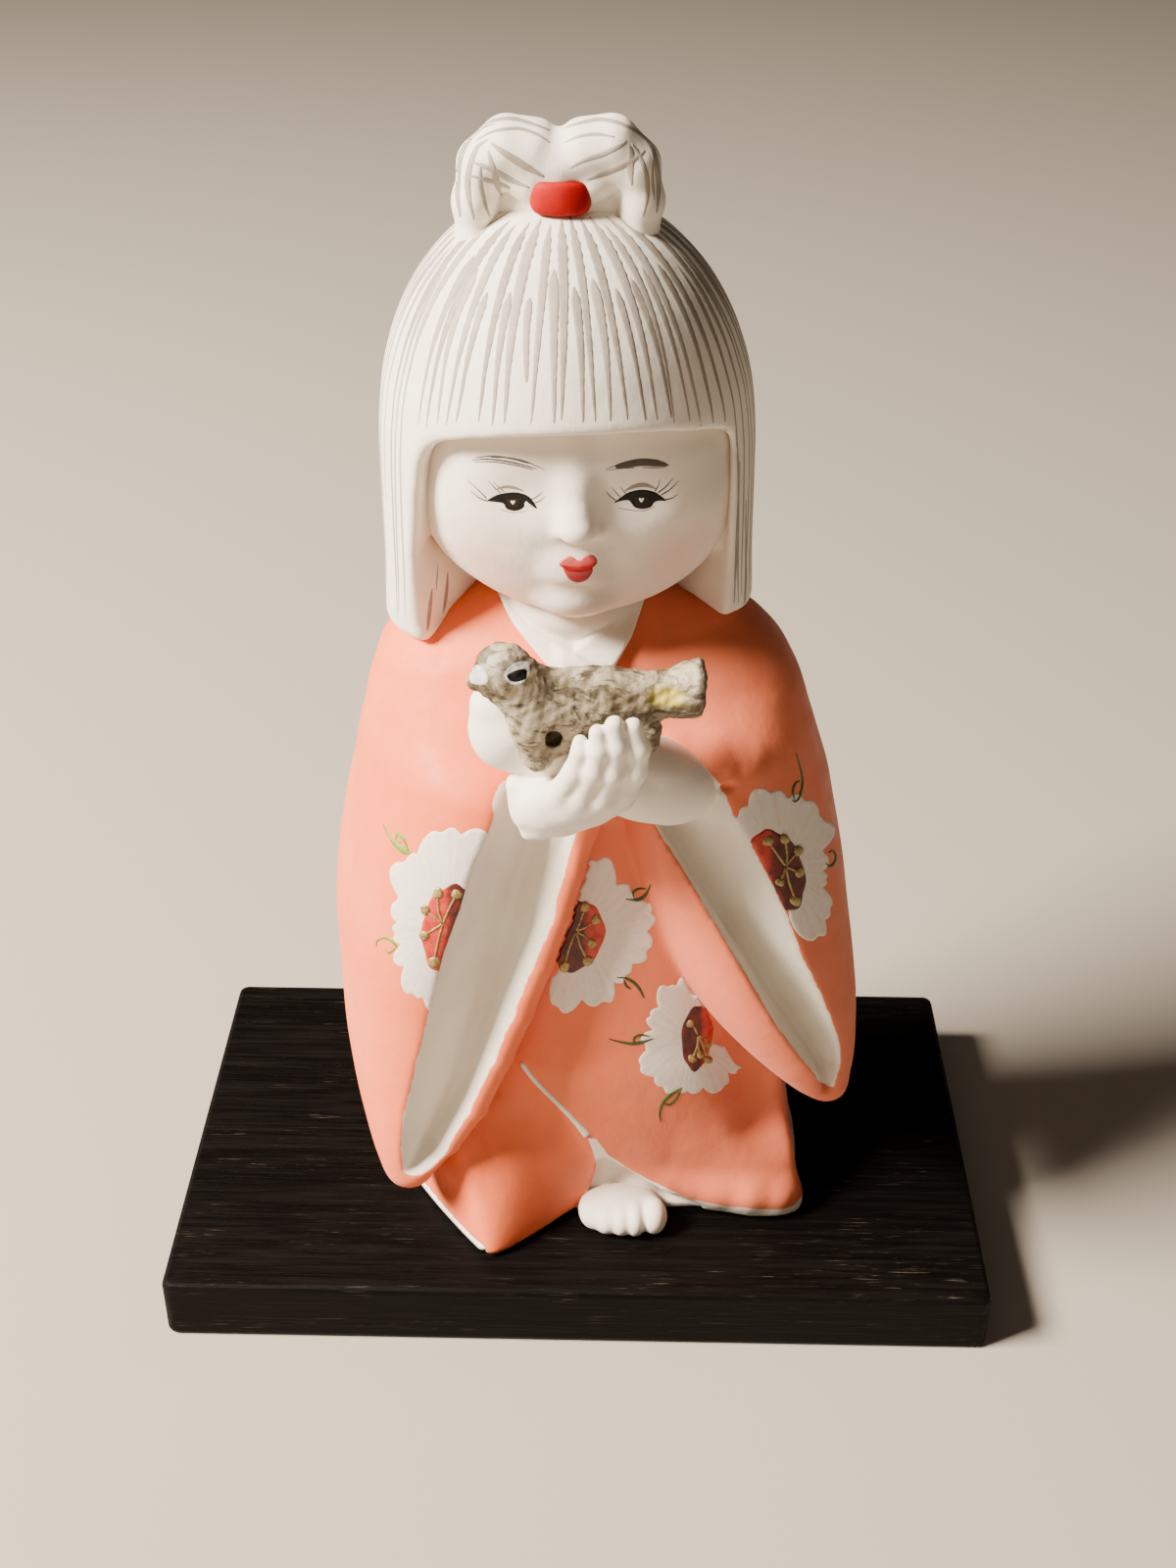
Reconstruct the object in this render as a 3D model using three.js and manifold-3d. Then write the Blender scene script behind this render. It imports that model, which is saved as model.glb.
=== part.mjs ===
// Standing ceramic doll in a long-sleeved robe, cupping a small clay dove, on a
// black wooden base. Millimetres, +Z up, front of the doll towards -Y, origin at
// the middle of the underside of the wooden base.
import * as THREE from 'three';
import { mergeVertices } from 'three/addons/utils/BufferGeometryUtils.js';
import { ConvexGeometry } from 'three/addons/geometries/ConvexGeometry.js';
import Module from 'manifold-3d';

const wasm = await Module();
wasm.setup();

// ---------------------------------------------------------------- dimensions
const BASE_W = 180, BASE_D = 104, BASE_H = 15; // wooden base
const BASE_CORNER = 1.2, BASE_CHAMFER = 1.2;
const GAP = 0.3; // play between touching pieces
const LIFT = BASE_H + GAP; // height of the figure's own zero above the base underside
const PEG_X = 5, PEG_Y = 2, PEG_R = 4, PEG_DEPTH = 10, PEG_RISE = 14;
const VENT_R = 5.5; // vent hole in the figure's floor, also takes the peg
const HEM_H = 2.4, FLOOR_H = 6.5; // white hem band, floor plug inside the robe
const WALL = 5; // clay wall of the hollow castings
const DOVE_AXIS = [0, -0.1736, 0.9848]; // the way the dove lifts out of the hands
const DOVE_TRAVEL = 45;

// Sections by height z: [z, cx, cy, a, bFront, bBack, turn(deg), exponent].
// a is the half-width, b the half-depths, turn is about +Z.
const ROBE = [
  [0, 6, -2, 44, 23.6, 33, 0, 2.7],
  [10, 6, -2, 42.6, 24.6, 32.2, 0, 2.6],
  [20, 6, -2, 41, 26, 31.2, 0, 2.5],
  [35, 5.5, -2, 38, 27.6, 29.6, 0, 2.4],
  [50, 5, -2, 35.5, 28.4, 28.6, 0, 2.3],
  [70, 4, -2, 33.5, 28, 28, 0, 2.3],
  [90, 3, -1.5, 32.5, 27, 27.2, 0, 2.3],
  [105, 2, -1, 33, 26.6, 26.6, 0, 2.3],
  [115, 1.5, -1, 35, 26.2, 26.4, 0, 2.3],
  [125, 0.5, -0.5, 38, 25.6, 25.8, 0, 2.3],
  [132, 0, 0, 38, 24.6, 24.4, 0, 2.3],
  [138, -0.5, 0, 34, 22.4, 21.6, 0, 2.2],
  [142, -1, 0, 27.5, 19.6, 18.6, 0, 2.1],
  [146, -1.5, 0, 19, 16.6, 15, 0, 2],
  [149, -1.5, 0.5, 13.5, 13, 12.5, 0, 2],
];
// the doll's own right sleeve (viewer's left) and left sleeve
const SLEEVE_R = [
  [12.6, -37, -31, 1.6, 1.8, 1.8, 0, 2],
  [14.6, -37, -31, 4.5, 5, 5, 8, 2],
  [20, -37.4, -28.6, 6.9, 9.5, 10, 15, 2.1],
  [30, -37, -25, 10, 14.6, 15, 18, 2.2],
  [45, -35.5, -20, 14, 20, 20, 20, 2.2],
  [60, -33, -17.5, 17, 23, 23, 22, 2.2],
  [80, -30, -15, 20, 26, 25, 25, 2.2],
  [100, -25, -13, 21.5, 28, 27, 30, 2.2],
  [115, -22, -12, 21, 27, 26, 33, 2.2],
  [125, -21.5, -7.5, 20.5, 20.5, 21, 33, 2.1],
  [133, -21, -4, 17.5, 14.5, 15, 33, 2],
  [140, -18, -2, 10, 8, 8, 33, 2],
];
const SLEEVE_L = [
  [31.2, 53.5, -24, 1.6, 1.6, 1.6, 0, 2],
  [34, 53.4, -24.4, 4.3, 4.6, 5, -15, 2],
  [40, 51.6, -23, 7, 9, 9.5, -25, 2.1],
  [50, 46.5, -21, 12, 14, 14.5, -30, 2.2],
  [60, 42, -19, 15.5, 18, 18.5, -32, 2.2],
  [75, 36.8, -16.5, 18, 22, 22, -33, 2.2],
  [90, 32.8, -14.5, 19, 24, 24, -35, 2.2],
  [105, 28.8, -12.5, 19.5, 25, 24.5, -38, 2.2],
  [118, 26.6, -10.5, 19, 22, 22, -38, 2.1],
  [128, 25.6, -6, 18, 16, 17, -38, 2],
  [136, 22, -3, 14.5, 11.5, 12, -38, 2],
  [141, 18, -2, 8.5, 7, 7, -38, 2],
];
// hair bob: outer shape of the hair
const BOB = [
  [137.6, -2.6, 0.5, 36.4, 22, 27.5, 0, 2.6],
  [146, -2.7, 0, 35.9, 26, 29.5, 0, 2.5],
  [156, -2.8, -0.5, 35.5, 30.5, 31.5, 0, 2.35],
  [168, -2.9, -0.8, 35.4, 33.4, 33, 0, 2.2],
  [178, -3, -1, 35.2, 34.6, 33.4, 0, 2.1],
  [188, -3.1, -1, 34.2, 34.4, 32.6, 0, 2.05],
  [197, -3.3, -1, 31.8, 32.4, 30.4, 0, 2],
  [205, -3.5, -1, 28, 28.8, 26.8, 0, 2],
  [212, -3.7, -1, 22.6, 23.2, 21.6, 0, 2],
  [217, -3.9, -1, 16.6, 17, 15.8, 0, 2],
  [220.4, -4, -1, 9, 9.4, 8.6, 0, 2],
  [221.6, -4, -1, 3.4, 3.6, 3.4, 0, 2],
];
// skull with the face
const SKULL = [
  [146.6, -0.6, -6, 7.5, 9, 8, 4, 2],
  [148.4, -0.6, -5.5, 14, 14.6, 12, 4, 2],
  [152, -0.6, -4.5, 21, 20, 17.5, 4, 2.1],
  [158, -1, -3, 27.2, 24.2, 22, 4, 2.3],
  [165, -1.3, -2, 30.1, 27, 24.6, 4, 2.5],
  [173, -1.4, -1.6, 30.6, 28.4, 26, 4, 2.65],
  [181, -1.5, -1.4, 29.8, 28.4, 26, 4, 2.6],
  [190, -1.5, -1.4, 26.6, 26.6, 24.4, 4, 2.3],
  [198, -1.8, -1.4, 21.6, 22.6, 20.8, 4, 2],
  [205, -2.4, -1.4, 15.6, 16.2, 15, 4, 2],
  [209, -2.8, -1.4, 9, 9.4, 8.8, 4, 2],
  [210.4, -3, -1.4, 3, 3.2, 3, 4, 2],
];
// flared hem corners, hulls of these points, and the outline (x, z) of the arch between them
const TAIL_LEFT = [
  [-38.9, -18, 0], [-34, -25.6, 0], [-18.8, -44.2, 0], [-17, -43.6, 0], [-10.4, -37.9, 0], [-0.6, -28.2, 0], [1.5, -22, 0], [-24, -8, 0],
  [-38.7, -17, 6], [-19.4, -41.6, 4.5], [-27.6, -32.6, 19], [-29, -27, 34], [-14, -27, 32], [-1.5, -26.8, 13], [-22, -12, 34],
];
const TAIL_RIGHT = [
  [21, -24.6, 0], [29, -27.4, 0], [38, -29.2, 0], [44.6, -29.8, 0], [49.6, -28.4, 0], [51.6, -24, 0], [46, 4, 0], [20, -10, 0],
  [50.8, -26.6, 5], [30, -28, 10], [24, -27.4, 22], [49, -22, 18], [47.4, -20, 28], [43, -14, 46], [38, -20, 46],
];
const ARCH = [
  [-0.6, -3], [-0.2, 0], [1.8, 3.1], [2.6, 7.2], [3.5, 11.6], [3.9, 14.7], [4.8, 16.5], [6.5, 16.5], [10.9, 13.5],
  [15.4, 10], [19.8, 7.1], [24.3, 4.4], [27.5, 2.4], [29, -3],
];
// dove, along its own length from breast to tail: [x, y, z, halfWidth, halfHeight]
const DOVE_BODY = [
  [-11.4, -41.4, 137.2, 1.2, 2],
  [-10.4, -41.4, 137.6, 4, 6.1],
  [-7.5, -41.2, 138, 5.6, 8.6],
  [-3, -40.8, 138.8, 6, 8.6],
  [3, -40.2, 139.8, 5.6, 7.8],
  [8, -39.9, 141, 4.9, 6.3],
  [12, -39.6, 141.9, 4.2, 5],
  [15.5, -39.3, 142.4, 3.9, 4.6],
  [19, -39, 142.8, 4.2, 5.3],
  [21.6, -38.9, 143, 4.5, 5.4],
  [23.2, -38.8, 143.1, 2.6, 3.1],
];

// ------------------------------------------------------------------- helpers
// Smooth, overshoot-free interpolation of a table whose first column rises.
function table(rows) {
  const n = rows.length, m = rows[0].length - 1;
  const x = rows.map((r) => r[0]);
  const slope = [];
  for (let k = 1; k <= m; k++) {
    const d = [], s = new Array(n).fill(0);
    for (let i = 0; i < n - 1; i++) d.push((rows[i + 1][k] - rows[i][k]) / (x[i + 1] - x[i]));
    for (let i = 1; i < n - 1; i++) {
      if (d[i - 1] * d[i] <= 0) continue;
      const h0 = x[i] - x[i - 1], h1 = x[i + 1] - x[i], w1 = 2 * h1 + h0, w2 = h1 + 2 * h0;
      s[i] = (w1 + w2) / (w1 / d[i - 1] + w2 / d[i]);
    }
    s[0] = d[0];
    s[n - 1] = d[n - 2];
    slope.push(s);
  }
  return (v) => {
    const t = Math.min(Math.max(v, x[0]), x[n - 1]);
    let i = 0;
    while (i < n - 2 && t > x[i + 1]) i++;
    const h = x[i + 1] - x[i], u = (t - x[i]) / h, out = [];
    for (let k = 1; k <= m; k++) {
      const s = slope[k - 1];
      out.push(
        (1 + 2 * u) * (1 - u) ** 2 * rows[i][k] + u * (1 - u) ** 2 * h * s[i] +
        u * u * (3 - 2 * u) * rows[i + 1][k] + u * u * (u - 1) * h * s[i + 1]);
    }
    return out;
  };
}

// A closed turned form whose rings are then moved by place(ring, cos, sin, r).
function turned(rings, segments, place) {
  const profile = [new THREE.Vector2(0, 0)];
  for (let i = 0; i < rings; i++) profile.push(new THREE.Vector2(1, i));
  profile.push(new THREE.Vector2(0, rings - 1));
  const g = new THREE.LatheGeometry(profile, segments);
  const p = g.attributes.position;
  for (let i = 0; i < p.count; i++) {
    const r = Math.hypot(p.getX(i), p.getZ(i));
    const ring = Math.round(p.getY(i));
    const c = r > 0.5 ? p.getX(i) : 0, s = r > 0.5 ? p.getZ(i) : 0;
    const q = place(ring, c, s, r > 0.5 ? 1 : 0);
    p.setXYZ(i, q.x, q.y, q.z);
  }
  return g;
}

// Stack of superelliptic sections. grow widens every section (negative: inside wall).
function stack(rows, levels, segments, grow = 0) {
  const at = table(rows);
  return solid(turned(levels.length, segments, (ring, c, s) => {
    const z = levels[ring];
    const [cx, cy, a, bf, bb, turn, e] = at(z);
    const b = s < 0 ? bf : bb, q = 2 / e, w = THREE.MathUtils.degToRad(turn);
    const px = Math.max(a + grow, 0.4) * Math.sign(c) * Math.abs(c) ** q;
    const py = Math.max(b + grow, 0.4) * Math.sign(s) * Math.abs(s) ** q;
    return new THREE.Vector3(
      cx + px * Math.cos(w) - py * Math.sin(w), cy + px * Math.sin(w) + py * Math.cos(w), z);
  }));
}

// Round limb through points [x, y, z, radius], with rounded ends.
function limb(points, { steps = 2, segments = 10, grow = 0, flat = [1, 1], up = [0, 0, 1] } = {}) {
  const curve = new THREE.CatmullRomCurve3(points.map((p) => new THREE.Vector3(p[0], p[1], p[2])), false, 'centripetal');
  const n = (points.length - 1) * steps;
  const rad = (u) => {
    const f = u * (points.length - 1), i = Math.min(Math.floor(f), points.length - 2);
    return THREE.MathUtils.lerp(points[i][3], points[i + 1][3], f - i) + grow;
  };
  const caps = 3, rings = [];
  for (let k = 0; k < caps; k++) rings.push([0, -Math.cos(k / caps * Math.PI / 2), Math.max(Math.sin(k / caps * Math.PI / 2), 0.12)]);
  for (let i = 0; i <= n; i++) rings.push([i / n, 0, 1]);
  for (let k = caps - 1; k >= 0; k--) rings.push([1, Math.cos(k / caps * Math.PI / 2), Math.max(Math.sin(k / caps * Math.PI / 2), 0.12)]);
  const ref = new THREE.Vector3(...up);
  return solid(turned(rings.length, segments, (ring, c, s) => {
    const [u, off, k] = rings[ring];
    const o = curve.getPoint(u), t = curve.getTangent(u), r = rad(u);
    const side = new THREE.Vector3().crossVectors(t, ref).normalize();
    const top = new THREE.Vector3().crossVectors(side, t).normalize();
    return o.addScaledVector(t, off * r)
      .addScaledVector(side, c * k * (r * flat[0])).addScaledVector(top, s * k * (r * flat[1]));
  }));
}

function ball(x, y, z, a, b, c, { grow = 0, turn = 0, w = 12, h = 8 } = {}) {
  const g = new THREE.SphereGeometry(1, w, h);
  g.scale(a + grow, c + grow, b + grow).rotateX(Math.PI / 2).rotateZ(THREE.MathUtils.degToRad(turn)).translate(x, y, z);
  return solid(g);
}

function slab(x0, x1, y0, y1, z0, z1) {
  return solid(new THREE.BoxGeometry(x1 - x0, y1 - y0, z1 - z0).translate((x0 + x1) / 2, (y0 + y1) / 2, (z0 + z1) / 2));
}

function rod(x, y, z0, z1, r, segments = 24) {
  return solid(new THREE.CylinderGeometry(r, r, z1 - z0, segments).rotateX(Math.PI / 2).translate(x, y, (z0 + z1) / 2));
}

function wedge(points) {
  return solid(new ConvexGeometry(points.map((p) => new THREE.Vector3(...p))));
}

// Prism over an outline in the X-Z plane, from y0 to y1.
function prismXZ(outline, y0, y1) {
  const shape = new THREE.Shape(outline.map(([x, z]) => new THREE.Vector2(x, z)));
  return solid(new THREE.ExtrudeGeometry(shape, { depth: y1 - y0, bevelEnabled: false }).rotateX(Math.PI / 2).translate(0, y1, 0));
}

function solid(geometry) {
  let g = geometry.index ? geometry.toNonIndexed() : geometry.clone();
  for (const name of Object.keys(g.attributes)) if (name !== 'position') g.deleteAttribute(name);
  g = mergeVertices(g, 1e-4);
  const p = g.attributes.position.array, idx = [];
  const src = g.index.array;
  let volume = 0;
  for (let i = 0; i < src.length; i += 3) {
    const [a, b, c] = [src[i], src[i + 1], src[i + 2]];
    if (a === b || b === c || a === c) continue;
    idx.push(a, b, c);
    volume += p[3 * a] * (p[3 * b + 1] * p[3 * c + 2] - p[3 * b + 2] * p[3 * c + 1])
      - p[3 * a + 1] * (p[3 * b] * p[3 * c + 2] - p[3 * b + 2] * p[3 * c])
      + p[3 * a + 2] * (p[3 * b] * p[3 * c + 1] - p[3 * b + 1] * p[3 * c]);
  }
  if (volume < 0) for (let i = 0; i < idx.length; i += 3) [idx[i], idx[i + 1]] = [idx[i + 1], idx[i]];
  return new wasm.Manifold(new wasm.Mesh({
    numProp: 3, vertProperties: new Float32Array(p), triVerts: new Uint32Array(idx),
  }));
}

const join = (...list) => list.reduce((a, b) => a.add(b));
const levels = (z0, z1, n, bend = 1) => Array.from({ length: n + 1 }, (_, i) => z0 + (z1 - z0) * (i / n) ** bend);
const biggest = (m) => m.decompose().sort((a, b) => b.volume() - a.volume())[0];

const group = new THREE.Group();
const figure = new THREE.Group();
figure.position.z = LIFT;
group.add(figure);
const dove = new THREE.Group();
dove.position.z = LIFT;
group.add(dove);

function piece(parent, name, manifold, color, roughness = 0.8, tidy = 0.1) {
  const kept = biggest(manifold.simplify(tidy));
  const mesh = kept.getMesh();
  const g = new THREE.BufferGeometry();
  const p = new Float32Array((mesh.vertProperties.length / mesh.numProp) * 3);
  for (let i = 0; i < p.length / 3; i++) for (let k = 0; k < 3; k++) p[3 * i + k] = mesh.vertProperties[i * mesh.numProp + k];
  g.setAttribute('position', new THREE.BufferAttribute(p, 3));
  g.setIndex(new THREE.BufferAttribute(new Uint32Array(mesh.triVerts), 1));
  g.computeVertexNormals();
  const m = new THREE.Mesh(g, new THREE.MeshStandardMaterial({ color, roughness, metalness: 0 }));
  m.name = name;
  parent.add(m);
  return kept;
}

const SALMON = 0xf3a083, WHITE = 0xf1ece2, SKIN = 0xefe8e0, BLACK = 0x16120f, RED = 0xd02a16, CLAY = 0xb9ae94, BEECH = 0xc9a878;

// ---------------------------------------------------------------- wooden base
function board() {
  const hx = BASE_W / 2 - BASE_CHAMFER, hy = BASE_D / 2 - BASE_CHAMFER, r = BASE_CORNER;
  const s = new THREE.Shape();
  s.moveTo(-hx + r, -hy).lineTo(hx - r, -hy).absarc(hx - r, -hy + r, r, -Math.PI / 2, 0)
    .lineTo(hx, hy - r).absarc(hx - r, hy - r, r, 0, Math.PI / 2)
    .lineTo(-hx + r, hy).absarc(-hx + r, hy - r, r, Math.PI / 2, Math.PI)
    .lineTo(-hx, -hy + r).absarc(-hx + r, -hy + r, r, Math.PI, Math.PI * 1.5);
  return solid(new THREE.ExtrudeGeometry(s, {
    depth: BASE_H - 2 * BASE_CHAMFER, bevelEnabled: true, bevelThickness: BASE_CHAMFER, bevelSize: BASE_CHAMFER,
    bevelSegments: 2, curveSegments: 3,
  }).translate(0, 0, BASE_CHAMFER));
}
piece(group, 'base_board', board().subtract(rod(PEG_X, PEG_Y, BASE_H - PEG_DEPTH, BASE_H + 1, PEG_R + GAP)), BLACK, 0.6, 0.001);
const pegProfile = [[0, 0], [PEG_R - 0.8, 0], [PEG_R, 0.8], [PEG_R, PEG_DEPTH + PEG_RISE - 1.8], [PEG_R - 1.2, PEG_DEPTH + PEG_RISE - 0.6], [0, PEG_DEPTH + PEG_RISE - 0.6]];
piece(group, 'locating_peg', solid(new THREE.LatheGeometry(pegProfile.map((p) => new THREE.Vector2(...p)), 24)
  .rotateX(Math.PI / 2).translate(PEG_X, PEG_Y, BASE_H - PEG_DEPTH + GAP)), BEECH, 0.7);

// ------------------------------------------------------------- robe and hem
// Flared hem corners, and the arch between them over the foot.
const corner = (points, g, cx, cy) => wedge(g > 0
  ? points.flatMap(([x, y, z]) => [[x - g, y - g, z], [x + g, y - g, z], [x - g, y + g, z], [x + g, y + g, z]])
  : points.map(([x, y, z]) => [x + Math.sign(x - cx) * g, y + Math.sign(y - cy) * g, z]));
const tailLeft = (g) => corner(TAIL_LEFT, g, -16, -22);
const tailRight = (g) => corner(TAIL_RIGHT, g, 36, -16);
const archOutline = (g) => ARCH.map((p, i) => {
  const a = ARCH[Math.max(i - 1, 0)], b = ARCH[Math.min(i + 1, ARCH.length - 1)];
  const t = new THREE.Vector2(b[0] - a[0], b[1] - a[1]).normalize();
  return [p[0] - t.y * g, p[1] + t.x * g];
});
const robeLevels = [0, 10, 20, 35, 50, 70, 90, 105, 115, 125, 132, 138, 142, 146, 149];
const robeAll = (g) => {
  const m = join(stack(ROBE, robeLevels, 36, g), tailLeft(g), tailRight(g));
  return g > 0 ? m.add(m.translate([0, 0, g])) : m;
};
const robeOuter = robeAll(0);
const inner = stack(ROBE, [-4, 10, 20, 50, 90, 105, 115, 125, 132, 137, 140], 20, -WALL);
const arch = prismXZ(archOutline(0), -60, -17);
const neckBore = rod(-1.5, 0.5, 134, 152, 6.5, 20);
const robe = robeOuter.subtract(inner).subtract(arch).subtract(neckBore).subtract(slab(-80, 80, -80, 80, -6, HEM_H + GAP));
piece(figure, 'kimono_body', robe, SALMON, 0.85);

const plug = stack(ROBE, [-4, 10, 20], 20, -WALL - GAP - 0.15).intersect(slab(-80, 80, -80, 80, 0, FLOOR_H));
const hemPlate = robeOuter.intersect(slab(-80, 80, -80, 80, 0, HEM_H));
const archBlock = robeAll(-1.3).subtract(stack(ROBE, [-4, 10, 20, 35, 50], 28, -WALL - 3)).intersect(prismXZ(archOutline(-0.35), -60, -17.4 + 0.35)).intersect(slab(-80, 80, -80, 80, 0, 24));
const foot = (g) => join(
  ball(10, -29.2, 3.6, 9.2, 6.6, 5.6, { grow: g, w: 16, h: 8 }),
  ball(3.4, -31.2, 3.2, 3, 3.6, 3.3, { grow: g, w: 10, h: 6 }), ball(7.2, -32.4, 3.5, 2.7, 3.7, 3.7, { grow: g, w: 10, h: 6 }),
  ball(11.2, -32.9, 3.8, 2.6, 3.6, 4.1, { grow: g, w: 10, h: 6 }), ball(15.6, -32.6, 4, 3, 3.8, 4.3, { grow: g, w: 10, h: 6 }));
const footClear = foot(GAP).add(foot(GAP).translate([0, 0, -4]));
const underskirt = join(plug, hemPlate, archBlock).subtract(rod(PEG_X, PEG_Y, -3, 30, VENT_R)).subtract(footClear);
piece(figure, 'underskirt_base', underskirt, WHITE, 0.85);
piece(figure, 'tabi_foot', foot(0).intersect(slab(-40, 60, -60, 20, 0, 30)), WHITE, 0.85);

// -------------------------------------------------------------------- sleeves
const sleeveLevelsR = [12.6, 14.6, 20, 30, 45, 60, 80, 100, 115, 125, 133, 140];
const sleeveLevelsL = [31.2, 34, 40, 50, 60, 75, 90, 105, 118, 128, 136, 141];
const pocketR = (g) => limb([[-36.6, -37, 19.5, 1.8], [-33.6, -38.6, 28, 4], [-26.4, -41, 50, 6.8], [-18.6, -42, 78, 7.6], [-13.4, -41.5, 98, 7.8], [-9, -40, 112, 7.8]],
  { segments: 10, grow: g, flat: [0.95, 1.25], up: [0.4, 0.9, 0] });
const pocketL = (g) => limb([[54.4, -30.5, 38.6, 2.2], [49.6, -33.4, 50, 5], [42, -37, 68, 6.8], [33, -38.6, 88, 7.6], [26, -38.6, 104, 7.8], [20, -38, 116, 7]],
  { segments: 10, grow: g, flat: [0.95, 1.25], up: [-0.4, 0.9, 0] });
const sleeve = (side, g) => {
  const m = side === 'R' ? stack(SLEEVE_R, sleeveLevelsR, 22, g) : stack(SLEEVE_L, sleeveLevelsL, 22, g);
  return g > 0 ? m.add(m.translate([0, 0, g])) : m;
};
const robeClear = robeAll(GAP + 0.15);
const sleeveR = piece(figure, 'right_sleeve', sleeve('R', 0).subtract(pocketR(0)).subtract(robeClear), SALMON, 0.85);
const sleeveL = piece(figure, 'left_sleeve', sleeve('L', 0).subtract(pocketL(0)).subtract(robeClear), SALMON, 0.85);
const dressClear = join(robeClear, sleeve('R', GAP + 0.15).subtract(pocketR(-GAP - 0.15)), sleeve('L', GAP + 0.15).subtract(pocketL(-GAP - 0.15)));

// ----------------------------------------------------------------------- dove
const doveAt = table(DOVE_BODY);
function doveForm(g) {
  const xs = DOVE_BODY.map((r) => r[0]);
  const body = solid(turned(xs.length, 16, (ring, c, s) => {
    const x = xs[ring], [y, z, hw, hh] = doveAt(x);
    return new THREE.Vector3(x, y + c * (hw + g), z + s * (hh + g));
  }));
  return join(body,
    ball(-13.4, -41.8, 147.6, 5.4, 5.2, 5.4, { grow: g }),
    limb([[-13.6, -42.2, 147.4, 3.4], [-18.4, -43.2, 146.2, 1.5]], { grow: g, steps: 1, segments: 10 }),
    limb([[-11, -41.6, 144, 4.6], [-6, -41, 140.5, 6]], { grow: g, steps: 1, segments: 10 }),
    limb([[-9.4, -43, 145.4, 4.6], [-7.9, -43.6, 137.6, 4], [-7.2, -44.4, 131, 2.5]], { grow: g, steps: 1, segments: 10, up: [0, 1, 0] }),
    limb([[10.7, -40, 140.3, 3.6], [12.9, -41.5, 135.5, 2.2], [13.3, -42, 132.8, 1.5]], { grow: g, steps: 1, segments: 8, up: [0, 1, 0] }));
}
const toneHole = limb([[-4, -51, 138.1, 1.75], [-4.5, -43.5, 135.6, 1.7]], { steps: 1, segments: 10 });
const blowSlot = limb([[26, -38.4, 143.4, 2.2], [15.5, -39.2, 142.8, 1.1]], { steps: 1, segments: 10, flat: [1.3, 0.8] });
const doveSolid = doveForm(0).subtract(toneHole).subtract(blowSlot);
const lift = new THREE.Vector3(...DOVE_AXIS).normalize();
let dovePath = doveForm(0.35);
for (let i = 1; i <= 9; i++) {
  const k = i * 4.2;
  dovePath = dovePath.add(doveForm(0.35).translate([lift.x * k, lift.y * k, lift.z * k]));
}

// ---------------------------------------------------------------------- hands
const leftHand = join(
  limb([[24, -27, 114, 7.2], [13, -32, 119.2, 7.8], [6, -34.4, 123, 8.2], [-4, -35.5, 128.5, 7.6], [-12.6, -36.6, 132.6, 6.6]], { steps: 2, segments: 10 }),
  ball(-13.3, -36.5, 132.9, 6.8, 5.6, 8.4), ball(-15.4, -37, 138.6, 4.4, 4.2, 3.4, { w: 10, h: 6 }),
  limb([[20, -31, 113, 4.6], [9, -36, 117.8, 5], [-4, -38.5, 121, 5.4]], { steps: 2, segments: 10 }));
const FINGERS = [
  [[-7.5, -44.6, 121.3, 2.4], [-3.4, -46.4, 124.7, 2.1], [-0.5, -47.6, 130.2, 1.9], [0.7, -48, 135.1, 1.55], [0.5, -47.6, 136.7, 1.2]],
  [[-3.5, -45, 120.4, 2.4], [0.5, -46.8, 124.6, 2.15], [3, -48.4, 131.2, 2], [4.1, -49, 136.2, 1.8], [3.7, -48.8, 139.3, 1.45]],
  [[0.9, -45, 120, 2.4], [4.3, -46.6, 124.1, 2.1], [6.4, -48.2, 130.7, 1.95], [7.2, -48.8, 136.5, 1.8], [6.6, -48.6, 140.9, 1.6]],
  [[5.6, -44.6, 122, 2.2], [8.8, -45.8, 125.4, 2], [10.7, -47, 130.5, 1.9], [11.1, -47.6, 135.4, 1.8], [10, -47.6, 139.9, 1.6]]];
const PALM = [[-7.6, -41.5, 118.9, 4.6], [-5, -42.8, 120.6, 5.2], [-0.8, -43.6, 122.1, 5], [5.2, -44, 124.6, 4.2]];
const HEEL = [[-10.9, -40, 122.6, 2.5], [-9.5, -41, 117.2, 2.3], [-6.9, -42.6, 114.8, 1.9], [-2.4, -43, 116.2, 2.3], [3.8, -43.5, 119.3, 2.3], [8.5, -43.6, 122, 2.1]];
const grown = (points, g) => points.map(([x, y, z, r]) => [x, y, z, r + g]);
const rightForm = (g) => join(
  limb(grown(PALM, g), { steps: 2, segments: 10, up: [0, 1, 0] }), limb(grown(HEEL, g), { steps: 2, segments: 8, up: [0, 1, 0] }),
  ...FINGERS.map((f) => limb(grown(f, g), { steps: 2, segments: 10, up: [0, 1, 0] })));
const front = slab(-80, 80, -51.4, 40, 0, 260);
const leftHandSolid = leftHand.subtract(dressClear).subtract(dovePath).intersect(front);
const rightHandClear = rightForm(0.4);
piece(figure, 'right_hand', rightForm(0).subtract(dressClear).subtract(dovePath).intersect(front), WHITE, 0.8);
piece(figure, 'left_hand', leftHandSolid.subtract(rightHandClear), WHITE, 0.8);
piece(dove, 'dove_whistle', doveSolid, CLAY, 0.9);

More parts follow.
